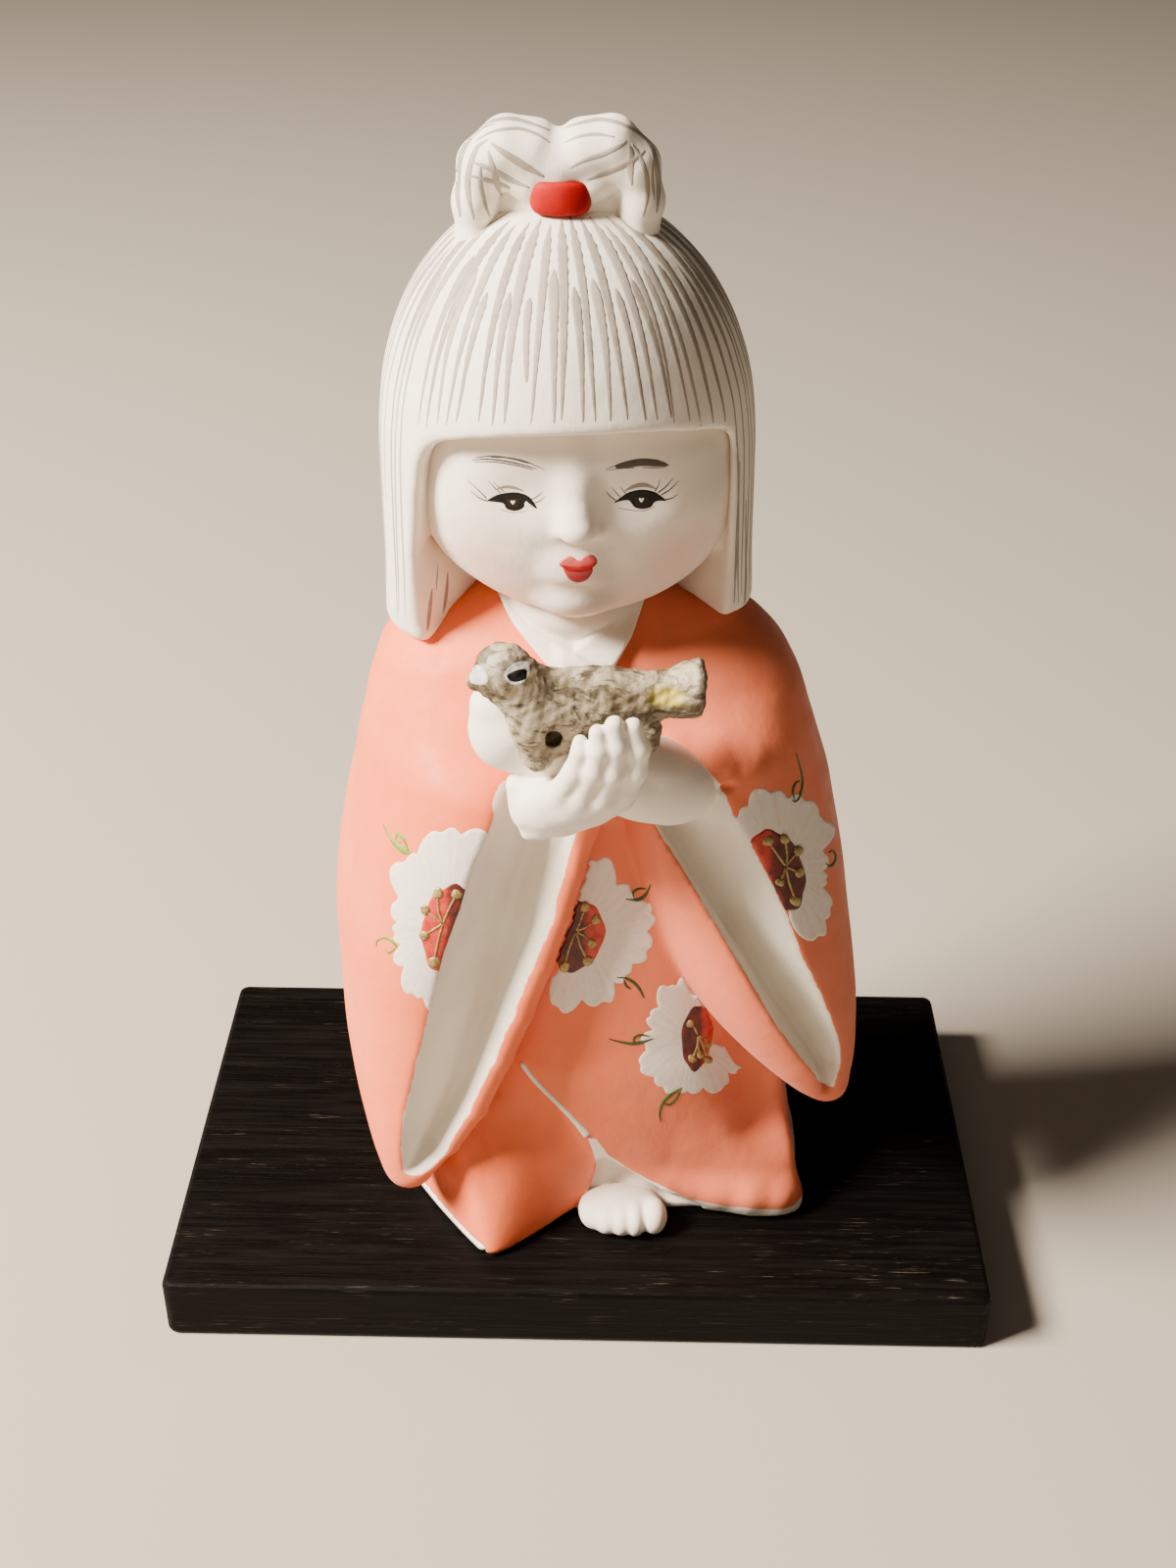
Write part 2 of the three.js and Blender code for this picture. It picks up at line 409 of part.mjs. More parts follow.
// --------------------------------------------------------- collar, head, hair
const skullLevels = [146.6, 148.4, 152, 158, 165, 173, 181, 190, 198, 205, 209, 210.4];
const skull = (g) => join(
  stack(SKULL, skullLevels, 28, g),
  ball(-0.2, -29.6, 168.4, 3, 3.6, 4.2, { grow: g, w: 12, h: 8 }),
  ball(-1, -22.6, 153.4, 8.5, 6, 5, { grow: g, w: 16, h: 8 }));
const skullHollow = stack(SKULL, [150, 153, 160, 173, 185, 195, 205], 16, -WALL)
  .add(rod(-1.5, 0.5, 140, 160, 8.5, 20));
const neckSeat = robeClear;
const head = piece(figure, 'head', skull(0).subtract(skullHollow).subtract(neckSeat), SKIN, 0.75);
const skullClear = skull(GAP + 0.1);
const collarForm = join(
  limb([[-19, -8, 147.4, 3.2], [-14.6, -18.6, 147, 3.4], [-6.6, -23.4, 143, 3.2], [1.4, -25, 138.6, 2.6]], { steps: 2, segments: 10 }),
  limb([[16, -8, 147.4, 3.2], [11.6, -18.8, 147.2, 3.4], [4.2, -23.6, 143, 3.2], [-2.6, -25.4, 139.4, 2.8]], { steps: 2, segments: 10 }),
  ball(-1.4, -18.5, 143.6, 12, 6, 6, { w: 14, h: 8 }));
piece(figure, 'under_collar', collarForm.subtract(robeClear).subtract(skullClear).subtract(leftHand).subtract(dovePath), WHITE, 0.85);

const bobLevels = [137.6, 146, 156, 168, 178, 188, 197, 205, 212, 217, 220.4, 221.6];
const bob = (g) => stack(BOB, bobLevels, 36, g);
// opening for the face below the fringe, slanting back to the tips of the side locks
const faceWindow = wedge([[-27, -60, 186], [26.4, -60, 187.6], [-27, -17, 186], [26.4, -17, 187.6], [-29.6, -60, 174], [28.4, -60, 174], [-29.6, -15, 174], [28.4, -15, 174],
  [-29, -60, 130], [27.4, -60, 130], [-29, -12, 130], [27.4, -12, 130]]);
const faceWide = wedge([[-30, -60, 170], [29, -60, 170], [-35, -60, 150], [34, -60, 150], [-35, -60, 130], [34, -60, 130], [-30, -24, 170], [29, -24, 170], [-35, -17, 150], [34, -17, 150], [-35, -14, 130], [34, -14, 130]]);
const neckRoom = stack([[130, -2.6, -1, 28.6, 30, 20, 0, 2.2], [150, -2.2, -1.4, 28.8, 30, 24, 0, 2.2], [160, -1.4, -1.6, 28.8, 28, 25.5, 0, 2.2]], [130, 140, 150, 160], 28);
const hair = bob(0).subtract(skullClear).subtract(faceWindow).subtract(faceWide).subtract(neckRoom).subtract(robeClear)
  .subtract(sleeve('R', GAP + 0.1)).subtract(sleeve('L', GAP + 0.1));
piece(figure, 'hair_cap', hair, WHITE, 0.8);

const bobClear = bob(GAP + 0.1);
const tie = (g) => {
  const r = 2.2, w = 10.8, h = 5.4, s = new THREE.Shape();
  const x0 = -3.9 - w / 2 - g, x1 = -3.9 + w / 2 + g, z0 = 220.6 - g, z1 = 220.6 + h + g;
  s.moveTo(x0 + r, z0).lineTo(x1 - r, z0).quadraticCurveTo(x1, z0, x1, z0 + r).lineTo(x1, z1 - r)
    .quadraticCurveTo(x1, z1, x1 - r, z1).lineTo(x0 + r, z1).quadraticCurveTo(x0, z1, x0, z1 - r).lineTo(x0, z0 + r).quadraticCurveTo(x0, z0, x0 + r, z0);
  return solid(new THREE.ExtrudeGeometry(s, { depth: 14 + 2 * g, bevelEnabled: false, curveSegments: 4 }).rotateX(Math.PI / 2).translate(0, 2 + g, 0));
};
const tieBand = tie(0).subtract(bobClear);
const tieClear = tie(GAP);
const loopRight = limb([[-15.6, -5, 211, 4.6], [-18.8, -5, 218, 4.6], [-18.6, -5.2, 226, 4.8], [-14, -5.4, 230.4, 4.8], [-8.6, -5.4, 228.6, 4.6]], { steps: 2, segments: 10, flat: [1, 1.2], up: [0, 1, 0] });
const loopLeft = limb([[9.6, -5, 212, 4.6], [11.6, -5, 219, 4.6], [11, -5.2, 226.4, 4.8], [6, -5.4, 230.4, 4.8], [0.4, -5.4, 228.8, 4.6]], { steps: 2, segments: 10, flat: [1, 1.2], up: [0, 1, 0] });
const root = join(ball(-4, -3.6, 222.4, 13.5, 5, 9, { w: 16, h: 8 }));
const loopRightClear = limb([[-15.6, -5, 211, 4.95], [-18.8, -5, 218, 4.95], [-18.6, -5.2, 226, 5.15], [-14, -5.4, 230.4, 5.15], [-8.6, -5.4, 228.6, 4.95]], { steps: 2, segments: 10, flat: [1, 1.2], up: [0, 1, 0] });
const loopLeftClear = limb([[9.6, -5, 212, 4.95], [11.6, -5, 219, 4.95], [11, -5.2, 226.4, 5.15], [6, -5.4, 230.4, 5.15], [0.4, -5.4, 228.8, 4.95]], { steps: 2, segments: 10, flat: [1, 1.2], up: [0, 1, 0] });
piece(figure, 'topknot_right_loop', loopRight.subtract(bobClear).subtract(tieClear).subtract(loopLeftClear), WHITE, 0.8);
piece(figure, 'topknot_left_loop', loopLeft.subtract(bobClear).subtract(tieClear), WHITE, 0.8);
piece(figure, 'topknot_root', root.subtract(bobClear).subtract(tieClear).subtract(loopRightClear).subtract(loopLeftClear), WHITE, 0.8);
piece(figure, 'hair_tie', tieBand, RED, 0.5);

export default group;
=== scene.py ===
import math
import time

import bmesh
import bpy
import numpy as np
from mathutils import Matrix, Vector
from mathutils.bvhtree import BVHTree
from mathutils.geometry import delaunay_2d_cdt


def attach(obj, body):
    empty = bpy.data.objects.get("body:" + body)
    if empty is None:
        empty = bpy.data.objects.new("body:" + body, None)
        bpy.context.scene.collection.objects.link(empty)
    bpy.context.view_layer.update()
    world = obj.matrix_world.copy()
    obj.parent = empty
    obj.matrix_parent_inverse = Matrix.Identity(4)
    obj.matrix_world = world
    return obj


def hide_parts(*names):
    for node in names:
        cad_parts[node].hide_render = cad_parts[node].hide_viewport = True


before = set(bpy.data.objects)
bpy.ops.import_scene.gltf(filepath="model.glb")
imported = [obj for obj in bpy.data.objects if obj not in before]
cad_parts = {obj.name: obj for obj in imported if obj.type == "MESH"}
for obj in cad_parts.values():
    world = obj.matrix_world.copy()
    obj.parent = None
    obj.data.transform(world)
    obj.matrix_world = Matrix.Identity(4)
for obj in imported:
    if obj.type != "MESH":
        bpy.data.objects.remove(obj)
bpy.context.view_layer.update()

T0 = time.time()

# ---------------------------------------------------------------- measures
# All shapes below are in millimetres in the doll's own frame: z is counted
# from the top of the board, and LIFT puts that on the board in the row frame.
BOARD_TOP = 15.0
LIFT = 15.3
MM = 0.001


def say(*a):
    print("[%6.1fs]" % (time.time() - T0), *a)


# ---------------------------------------------------------------- camera
FOCAL = 1974.618
PITCH, YAW, ROLL = math.radians(32.772), math.radians(-0.8846), math.radians(0.3524)
EYE = np.array([6.548, -343.244, 333.385])
VIEW_F = np.array([math.sin(YAW) * math.cos(PITCH), math.cos(YAW) * math.cos(PITCH), -math.sin(PITCH)])
_r = np.array([math.cos(YAW), -math.sin(YAW), 0.0])
_u = np.cross(_r, VIEW_F)
VIEW_R = math.cos(ROLL) * _r + math.sin(ROLL) * _u
VIEW_U = -math.sin(ROLL) * _r + math.cos(ROLL) * _u


def ray(px, py):
    """Unit direction from the eye through a point of the 1200 x 1600 picture."""
    d = VIEW_F + VIEW_R * (px - 600.0) / FOCAL - VIEW_U * (py - 800.0) / FOCAL
    return d / np.linalg.norm(d)


def at_y(px, py, y):
    """Figure-frame point on the ray through (px, py) at depth y."""
    d = ray(px, py)
    p = EYE + d * (y - EYE[1]) / d[1]
    return np.array([p[0], p[1], p[2] - LIFT])


def project(P):
    """Picture points of figure-frame points."""
    q = np.asarray(P, float) + (0, 0, LIFT) - EYE
    k = q @ VIEW_F
    return (600 + FOCAL * (q @ VIEW_R) / k).astype(np.float32), (800 - FOCAL * (q @ VIEW_U) / k).astype(np.float32)


camera_data = bpy.data.cameras.new("camera")
camera_data.lens = FOCAL / 1600.0 * 36.0
camera_data.sensor_width = 36.0
camera_data.clip_start = 0.01
camera_data.clip_end = 10.0
camera = bpy.data.objects.new("camera", camera_data)
bpy.context.scene.collection.objects.link(camera)
camera.matrix_world = Matrix((
    (VIEW_R[0], VIEW_U[0], -VIEW_F[0], EYE[0] * MM),
    (VIEW_R[1], VIEW_U[1], -VIEW_F[1], EYE[1] * MM),
    (VIEW_R[2], VIEW_U[2], -VIEW_F[2], EYE[2] * MM),
    (0, 0, 0, 1)))
bpy.context.scene.camera = camera


# ---------------------------------------------------------------- distance fields
def pchip(x, Y, q):
    x = np.asarray(x, float)
    Y = np.asarray(Y, float)
    if Y.ndim == 1:
        Y = Y[:, None]
    h = np.diff(x)[:, None]
    d = np.diff(Y, axis=0) / h
    m = np.zeros_like(Y)
    w1, w2 = 2 * h[1:] + h[:-1], h[1:] + 2 * h[:-1]
    with np.errstate(divide="ignore", invalid="ignore"):
        mm = (w1 + w2) / (w1 / d[:-1] + w2 / d[1:])
    m[1:-1] = np.where(d[:-1] * d[1:] > 0, mm, 0)
    m[0], m[-1] = d[0], d[-1]
    i = np.clip(np.searchsorted(x, q) - 1, 0, len(x) - 2)
    hh = (x[i + 1] - x[i])[:, None]
    t = (np.asarray(q)[:, None] - x[i][:, None]) / hh
    return ((2 * t**3 - 3 * t**2 + 1) * Y[i] + (t**3 - 2 * t**2 + t) * hh * m[i]
            + (3 * t**2 - 2 * t**3) * Y[i + 1] + (t**3 - t**2) * hh * m[i + 1])


def clamp(a, lo=0.0, hi=1.0):
    return np.minimum(np.maximum(a, lo), hi)


def smooth(lo, hi, v):
    t = clamp((v - lo) / (hi - lo))
    return t * t * (3 - 2 * t)


def smin(a, b, k):
    h = clamp(0.5 + 0.5 * (b - a) / k)
    return b * (1 - h) + a * h - k * h * (1 - h)


def smax(a, b, k):
    return -smin(-a, -b, k)


class Loft:
    """Stack of rounded sections along one axis: rows are [z, cx, cy, a, b_front, b_back, turn, exponent]."""

    def __init__(self, rows, step=0.25, order=(0, 1, 2)):
        rows = np.array(rows, float)
        self.order = order
        self.z0, self.z1 = rows[0, 0], rows[-1, 0]
        self.n = int(math.ceil((self.z1 - self.z0) / step)) + 1
        zs = np.linspace(self.z0, self.z1, self.n)
        t = pchip(rows[:, 0], rows[:, 1:], zs)
        self.dz = zs[1] - zs[0]
        turn = np.radians(t[:, 5])
        mean = (t[:, 2] + 0.5 * (t[:, 3] + t[:, 4])) / 2
        slope = np.gradient(mean, zs)
        self.t = np.column_stack([t[:, 0], t[:, 1], t[:, 2], t[:, 3], t[:, 4], np.cos(turn), np.sin(turn), t[:, 6],
                                  1 / np.sqrt(1 + np.minimum(slope**2, 9))]).astype(np.float32)

    def rows_at(self, z):
        u = (np.clip(z, self.z0, self.z1) - self.z0) / self.dz
        i = np.minimum(u.astype(np.int32), self.n - 2)
        w = (u - i)[:, None].astype(np.float32)
        return self.t[i] * (1 - w) + self.t[i + 1] * w

    def point(self, z, phi):
        """Surface points for heights z and angles phi (0 is +X, -pi/2 is the front)."""
        R = self.rows_at(np.asarray(z, float))
        c, s = np.cos(phi), np.sin(phi)
        e = 2.0 / R[:, 7]
        lx = R[:, 2] * np.sign(c) * np.abs(c)**e
        ly = np.where(s < 0, R[:, 3], R[:, 4]) * np.sign(s) * np.abs(s)**e
        return np.column_stack([R[:, 0] + R[:, 5] * lx - R[:, 6] * ly, R[:, 1] + R[:, 6] * lx + R[:, 5] * ly, z])

    def __call__(self, P, grow=0.0):
        x, y, z = P[:, self.order[0]], P[:, self.order[1]], P[:, self.order[2]]
        R = self.rows_at(z)
        dx, dy = x - R[:, 0], y - R[:, 1]
        lx = R[:, 5] * dx + R[:, 6] * dy
        ly = R[:, 5] * dy - R[:, 6] * dx
        b = np.where(ly < 0, R[:, 3], R[:, 4])
        e = R[:, 7]
        q = (np.abs(lx / R[:, 2])**e + np.abs(ly / b)**e)**(1 / e)
        rho = np.hypot(lx, ly)
        d = np.where(q > 1e-4, (rho - rho / np.maximum(q, 1e-4)), -np.minimum(R[:, 2], b)) * R[:, 8]
        over = np.maximum(self.z0 - z, z - self.z1)
        d = np.where(over > 0, np.hypot(np.maximum(d, 0), over), np.maximum(d, over))
        return d - grow


def ball(P, c, r):
    q = (P - np.array(c, np.float32)) / np.array(r, np.float32)
    k0 = np.sqrt((q * q).sum(1))
    qq = q / np.array(r, np.float32)
    k1 = np.sqrt((qq * qq).sum(1))
    return k0 * (k0 - 1) / np.maximum(k1, 1e-5)


def limb(P, pts, k=0.0):
    """Chain of round cones through [x, y, z, r] points."""
    out = None
    for a, b in zip(pts[:-1], pts[1:]):
        A, B = np.array(a[:3], np.float32), np.array(b[:3], np.float32)
        ab = B - A
        t = clamp(((P - A) @ ab) / float(ab @ ab))
        q = P - A - t[:, None] * ab
        d = np.sqrt((q * q).sum(1)) - (a[3] + (b[3] - a[3]) * t)
        out = d if out is None else (smin(out, d, k) if k else np.minimum(out, d))
    return out


def squeezed(P, centre, axis, f):
    """Points with the distance along an axis through a centre scaled by 1/f, for flattened limbs."""
    a = np.array(axis, float)
    a = (a / np.linalg.norm(a)).astype(np.float32)
    t = (P - np.array(centre, np.float32)) @ a
    return P + (t * (1 / f - 1))[:, None] * a


class Hull:
    """Convex block round points, its edges softened."""

    def __init__(self, pts, soft=1.2):
        bm = bmesh.new()
        vs = [bm.verts.new(p) for p in pts]
        bmesh.ops.convex_hull(bm, input=vs)
        bm.normal_update()
        planes = []
        for f in bm.faces:
            n = np.array(f.normal)
            if np.linalg.norm(n) < 0.5:
                continue
            w = float(n @ np.array(f.verts[0].co))
            if not any(np.dot(n, m) > 0.9995 and abs(w - v) < 0.2 for m, v in planes):
                planes.append((n, w))
        bm.free()
        self.N = np.array([p[0] for p in planes], np.float32)
        self.W = np.array([p[1] for p in planes], np.float32)
        self.k = 1.6 / soft

    def __call__(self, P):
        d = P @ self.N.T - self.W
        m = d.max(1)
        return m + np.log(np.exp(self.k * np.maximum(d - m[:, None], -30)).sum(1)) / self.k


def poly2d(x, y, pts):
    """Signed distance to a closed outline, negative inside."""
    pts = np.array(pts, np.float32)
    best = np.full(len(x), 1e9, np.float32)
    sign = np.ones(len(x), np.float32)
    n = len(pts)
    for i in range(n):
        a, b = pts[i], pts[(i + 1) % n]
        ex, ey = b - a
        wx, wy = x - a[0], y - a[1]
        t = clamp((wx * ex + wy * ey) / (ex * ex + ey * ey))
        best = np.minimum(best, (wx - ex * t)**2 + (wy - ey * t)**2)
        c1 = a[1] <= y
        c2 = b[1] > y
        c3 = ex * wy > ey * wx
        flip = (c1 & c2 & c3) | (~c1 & ~c2 & ~c3)
        sign = np.where(flip, -sign, sign)
    return sign * np.sqrt(best)


# ---------------------------------------------------------------- field to mesh
def in_chunks(f, P, n=400000):
    if len(P) <= n:
        return f(P)
    return np.concatenate([f(P[i:i + n]) for i in range(0, len(P), n)])


def sculpt(f, lo, hi, h, slack=1.5, settle=2):
    """Closed quad mesh of f = 0 in the box lo-hi with cells of h."""
    B = 4
    lo = np.array(lo, float) - 1.5 * h
    hi = np.array(hi, float) + 1.5 * h
    nb = np.ceil((hi - lo) / (h * B)).astype(int) + 1
    ii = np.stack(np.meshgrid(*[np.arange(n) for n in nb], indexing="ij"), -1).reshape(-1, 3)
    centres = (lo + (ii * B + (B - 1) / 2) * h).astype(np.float32)
    d = in_chunks(f, centres)
    act = np.abs(d) < B * h * 0.866 * slack + 0.3
    shape = tuple(nb * B)
    vol = np.repeat(np.repeat(np.repeat(np.where(d < 0, -9.0, 9.0).astype(np.float32).reshape(nb), B, 0), B, 1), B, 2)
    off = np.stack(np.meshgrid(*[np.arange(B)] * 3, indexing="ij"), -1).reshape(-1, 3)
    P = (lo + (ii[act][:, None, :] * B + off[None]) * h).reshape(-1, 3).astype(np.float32)
    vals = in_chunks(f, P).reshape(-1, B, B, B).astype(np.float32)
    v6 = vol.reshape(nb[0], B, nb[1], B, nb[2], B).transpose(0, 2, 4, 1, 3, 5)
    v6[act.reshape(nb)] = vals
    inside = vol < 0
    c = inside.astype(np.int8)
    s = (c[:-1, :-1, :-1] + c[1:, :-1, :-1] + c[:-1, 1:, :-1] + c[1:, 1:, :-1]
         + c[:-1, :-1, 1:] + c[1:, :-1, 1:] + c[:-1, 1:, 1:] + c[1:, 1:, 1:])
    cell = (s > 0) & (s < 8)
    I = np.argwhere(cell)
    idx = np.full(cell.shape, -1, np.int64)
    idx[cell] = np.arange(len(I))
    corners = np.array([[a, b, g] for a in (0, 1) for b in (0, 1) for g in (0, 1)])
    cv = np.stack([vol[I[:, 0] + k[0], I[:, 1] + k[1], I[:, 2] + k[2]] for k in corners], 1)
    pos, cnt = np.zeros((len(I), 3)), np.zeros(len(I))
    for a in range(8):
        for b in range(a + 1, 8):
            if np.abs(corners[a] - corners[b]).sum() != 1:
                continue
            va, vb = cv[:, a], cv[:, b]
            m = (va < 0) != (vb < 0)
            t = np.where(m, va / np.where(m, va - vb, 1), 0)
            pos += np.where(m[:, None], corners[a] + t[:, None] * (corners[b] - corners[a]), 0)
            cnt += m
    verts = lo + (I + pos / cnt[:, None]) * h
    quads = []
    for ax in range(3):
        o1, o2 = [a for a in range(3) if a != ax]
        sl0, sl1 = [slice(None)] * 3, [slice(None)] * 3
        sl0[ax], sl1[ax] = slice(0, -1), slice(1, None)
        a, b = inside[tuple(sl0)], inside[tuple(sl1)]
        E = np.argwhere(a != b)
        E = E[(E[:, o1] > 0) & (E[:, o2] > 0) & (E[:, o1] < inside.shape[o1] - 1) & (E[:, o2] < inside.shape[o2] - 1)]
        start_in = a[E[:, 0], E[:, 1], E[:, 2]]
        q = []
        for du, dv in ((-1, -1), (0, -1), (0, 0), (-1, 0)):
            F = E.copy()
            F[:, o1] += du
            F[:, o2] += dv
            q.append(idx[F[:, 0], F[:, 1], F[:, 2]])
        q = np.stack(q, 1)
        flip = start_in if ax != 1 else ~start_in
        q[~flip] = q[~flip][:, ::-1]
        quads.append(q)
    quads = np.concatenate(quads)
    for _ in range(settle):
        e = 0.25 * h
        V = verts.astype(np.float32)
        g = np.stack([(in_chunks(f, V + np.array(o, np.float32) * e) - in_chunks(f, V - np.array(o, np.float32) * e)) / (2 * e)
                      for o in ((1, 0, 0), (0, 1, 0), (0, 0, 1))], 1)
        v0 = in_chunks(f, V)
        step = g * (v0 / np.maximum((g * g).sum(1), 0.25))[:, None]
        ln = np.linalg.norm(step, axis=1)
        step *= (np.minimum(ln, 0.3 * h) / np.maximum(ln, 1e-9))[:, None]
        verts = verts - step
        # a light relax keeps the quads even where the steps differ
        acc, num = np.zeros_like(verts), np.zeros(len(verts))
        for i in range(4):
            a, b = quads[:, i], quads[:, (i + 1) % 4]
            np.add.at(acc, a, verts[b])
            np.add.at(num, a, 1)
        mean = acc / np.maximum(num, 1)[:, None]
        gl = np.linalg.norm(g, axis=1)
        n = g / np.maximum(gl, 1e-6)[:, None]
        mv = 0.35 * (mean - verts)
        mv -= n * (mv * n).sum(1)[:, None]
        verts = verts + mv
    return verts, quads


def collection_link(o):
    bpy.context.scene.collection.objects.link(o)
    return o


def mesh_object(name, verts, faces, mat=None, attrs=None, lift=LIFT, smooth_shade=True):
    """Object from figure-frame points in mm; faces are quads (n,4) or lists."""
    me = bpy.data.meshes.new(name)
    co = np.asarray(verts, float).copy()
    co[:, 2] += lift
    co *= MM
    if isinstance(faces, np.ndarray):
        me.vertices.add(len(co))
        me.vertices.foreach_set("co", co.astype(np.float32).ravel())
        k = faces.shape[1]
        me.loops.add(faces.size)
        me.loops.foreach_set("vertex_index", faces.astype(np.int32).ravel())
        me.polygons.add(len(faces))
        me.polygons.foreach_set("loop_start", np.arange(0, faces.size, k, dtype=np.int32))
        me.update(calc_edges=True)
    else:
        me.from_pydata([tuple(c) for c in co], [], [tuple(int(i) for i in f) for f in faces])
    me.validate()
    if smooth_shade:
        me.polygons.foreach_set("use_smooth", np.ones(len(me.polygons), bool))
    for k, v in (attrs or {}).items():
        at = me.attributes.new(k, "FLOAT", "POINT")
        at.data.foreach_set("value", np.asarray(v, np.float32))
    me.update()
    o = collection_link(bpy.data.objects.new(name, me))
    if mat is not None:
        me.materials.append(mat)
    return o


PARTS = {}


def piece(name, f, lo, hi, h, mat, body, nodes=(), attrs=None, slack=1.5):
    t = time.time()
    v, q = sculpt(f, lo, hi, h, slack)
    V = v.astype(np.float32)
    at = {k: g(V) for k, g in (attrs or {}).items()}
    o = mesh_object(name, v, q, mat, at)
    if nodes:
        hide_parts(*nodes)
    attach(o, body)
    PARTS[name] = (o, v, q)
    say(name, len(v), "points", "%.1fs" % (time.time() - t))
    return o


# ---------------------------------------------------------------- materials
class Tree:
    """Small helper for node materials."""

    def __init__(self, name):
        self.m = bpy.data.materials.new(name)
        self.m.use_nodes = True
        self.t = self.m.node_tree
        self.t.nodes.clear()
        self.out = self.t.nodes.new("ShaderNodeOutputMaterial")
        self.bsdf = self.t.nodes.new("ShaderNodeBsdfPrincipled")
        self.t.links.new(self.bsdf.outputs[0], self.out.inputs[0])
        self._obj = None

    def node(self, kind, **props):
        n = self.t.nodes.new(kind)
        for k, v in props.items():
            setattr(n, k, v)
        return n

    def put(self, sock, v):
        if isinstance(v, bpy.types.NodeSocket):
            self.t.links.new(v, sock)
        elif v is not None:
            if hasattr(sock.default_value, "__len__") and not isinstance(v, (tuple, list)):
                v = (v,) * len(sock.default_value)
            if hasattr(sock.default_value, "__len__") and len(sock.default_value) == 4 and len(v) == 3:
                v = (*v, 1.0)
            sock.default_value = v

    def set(self, name, v):
        self.put(self.bsdf.inputs[name], v)

    @property
    def obj(self):
        if self._obj is None:
            self._obj = self.node("ShaderNodeTexCoord").outputs["Object"]
        return self._obj

    def attr(self, name):
        return self.node("ShaderNodeAttribute", attribute_name=name).outputs["Fac"]

    def noise(self, scale, detail=4, rough=0.55, vec=None, dist=0.0, kind="FBM"):
        n = self.node("ShaderNodeTexNoise")
        n.noise_dimensions = "3D"
        self.put(n.inputs["Vector"], vec if vec is not None else self.obj)
        self.put(n.inputs["Scale"], scale)
        self.put(n.inputs["Detail"], detail)
        self.put(n.inputs["Roughness"], rough)
        self.put(n.inputs["Distortion"], dist)
        return n.outputs["Fac"]

    def voronoi(self, scale, vec=None, feature="F1", rand=1.0):
        n = self.node("ShaderNodeTexVoronoi", feature=feature)
        self.put(n.inputs["Vector"], vec if vec is not None else self.obj)
        self.put(n.inputs["Scale"], scale)
        self.put(n.inputs["Randomness"], rand)
        return n.outputs["Distance"]

    def math(self, op, a, b=None, c=None, clampit=False):
        n = self.node("ShaderNodeMath", operation=op, use_clamp=clampit)
        for i, v in enumerate((a, b, c)):
            if v is not None:
                self.put(n.inputs[i], v)
        return n.outputs[0]

    def ramp(self, v, lo, hi, a=0.0, b=1.0, kind="SMOOTHSTEP"):
        n = self.node("ShaderNodeMapRange", interpolation_type=kind, clamp=True) if kind != "LINEAR" else self.node("ShaderNodeMapRange", clamp=True)
        self.put(n.inputs["Value"], v)
        self.put(n.inputs["From Min"], lo)
        self.put(n.inputs["From Max"], hi)
        self.put(n.inputs["To Min"], a)
        self.put(n.inputs["To Max"], b)
        return n.outputs["Result"]

    def mix(self, f, a, b, mode="MIX"):
        n = self.node("ShaderNodeMix", data_type="RGBA", blend_type=mode, clamp_factor=True)
        self.put(n.inputs["Factor"], f)
        self.put(n.inputs[6], a)
        self.put(n.inputs[7], b)
        return n.outputs[2]

    def scaled(self, sx, sy, sz, rot=(0, 0, 0)):
        n = self.node("ShaderNodeMapping")
        self.put(n.inputs["Vector"], self.obj)
        n.inputs["Scale"].default_value = (sx, sy, sz)
        n.inputs["Rotation"].default_value = rot
        return n.outputs[0]

    def xyz(self, vec=None):
        n = self.node("ShaderNodeSeparateXYZ")
        self.put(n.inputs[0], vec if vec is not None else self.obj)
        return n.outputs

    def near(self, x, y, z, r0, r1, stretch=(1, 1, 1)):
        """1 at a point (figure mm) falling to 0 between radii r0 and r1 in mm."""
        n = self.node("ShaderNodeMapping")
        self.put(n.inputs["Vector"], self.obj)
        n.inputs["Location"].default_value = (-x * MM * stretch[0], -y * MM * stretch[1], -(z + LIFT) * MM * stretch[2])
        n.inputs["Scale"].default_value = stretch
        d = self.node("ShaderNodeVectorMath", operation="LENGTH")
        self.put(d.inputs[0], n.outputs[0])
        return self.ramp(d.outputs["Value"], r0 * MM, r1 * MM, 1.0, 0.0)

    def bump(self, height, strength=1.0, distance=0.0002, normal=None):
        n = self.node("ShaderNodeBump")
        self.put(n.inputs["Height"], height)
        self.put(n.inputs["Strength"], strength)
        self.put(n.inputs["Distance"], distance)
        if normal is not None:
            self.put(n.inputs["Normal"], normal)
        return n.outputs[0]


def clay_bump(t, coarse=0.35, fine=0.3, extra=None):
    """Thick matte paint over fired clay: slow waves, brush drag and a fine powdery tooth."""
    slow = t.noise(90, 3, 0.5)
    drag = t.noise(900, 3, 0.6, vec=t.scaled(1.0, 1.0, 0.35))
    tooth = t.noise(3800, 2, 0.6)
    specks = t.ramp(t.voronoi(420), 0.0, 0.16, 1.0, 0.0)
    n = t.bump(slow, coarse, 0.0012)
    n = t.bump(drag, fine, 0.00016, n)
    n = t.bump(tooth, fine, 0.00006, n)
    n = t.bump(specks, 0.25, 0.00010, n)
    if extra is not None:
        n = t.bump(extra, 1.0, 0.0002, n)
    t.set("Normal", n)


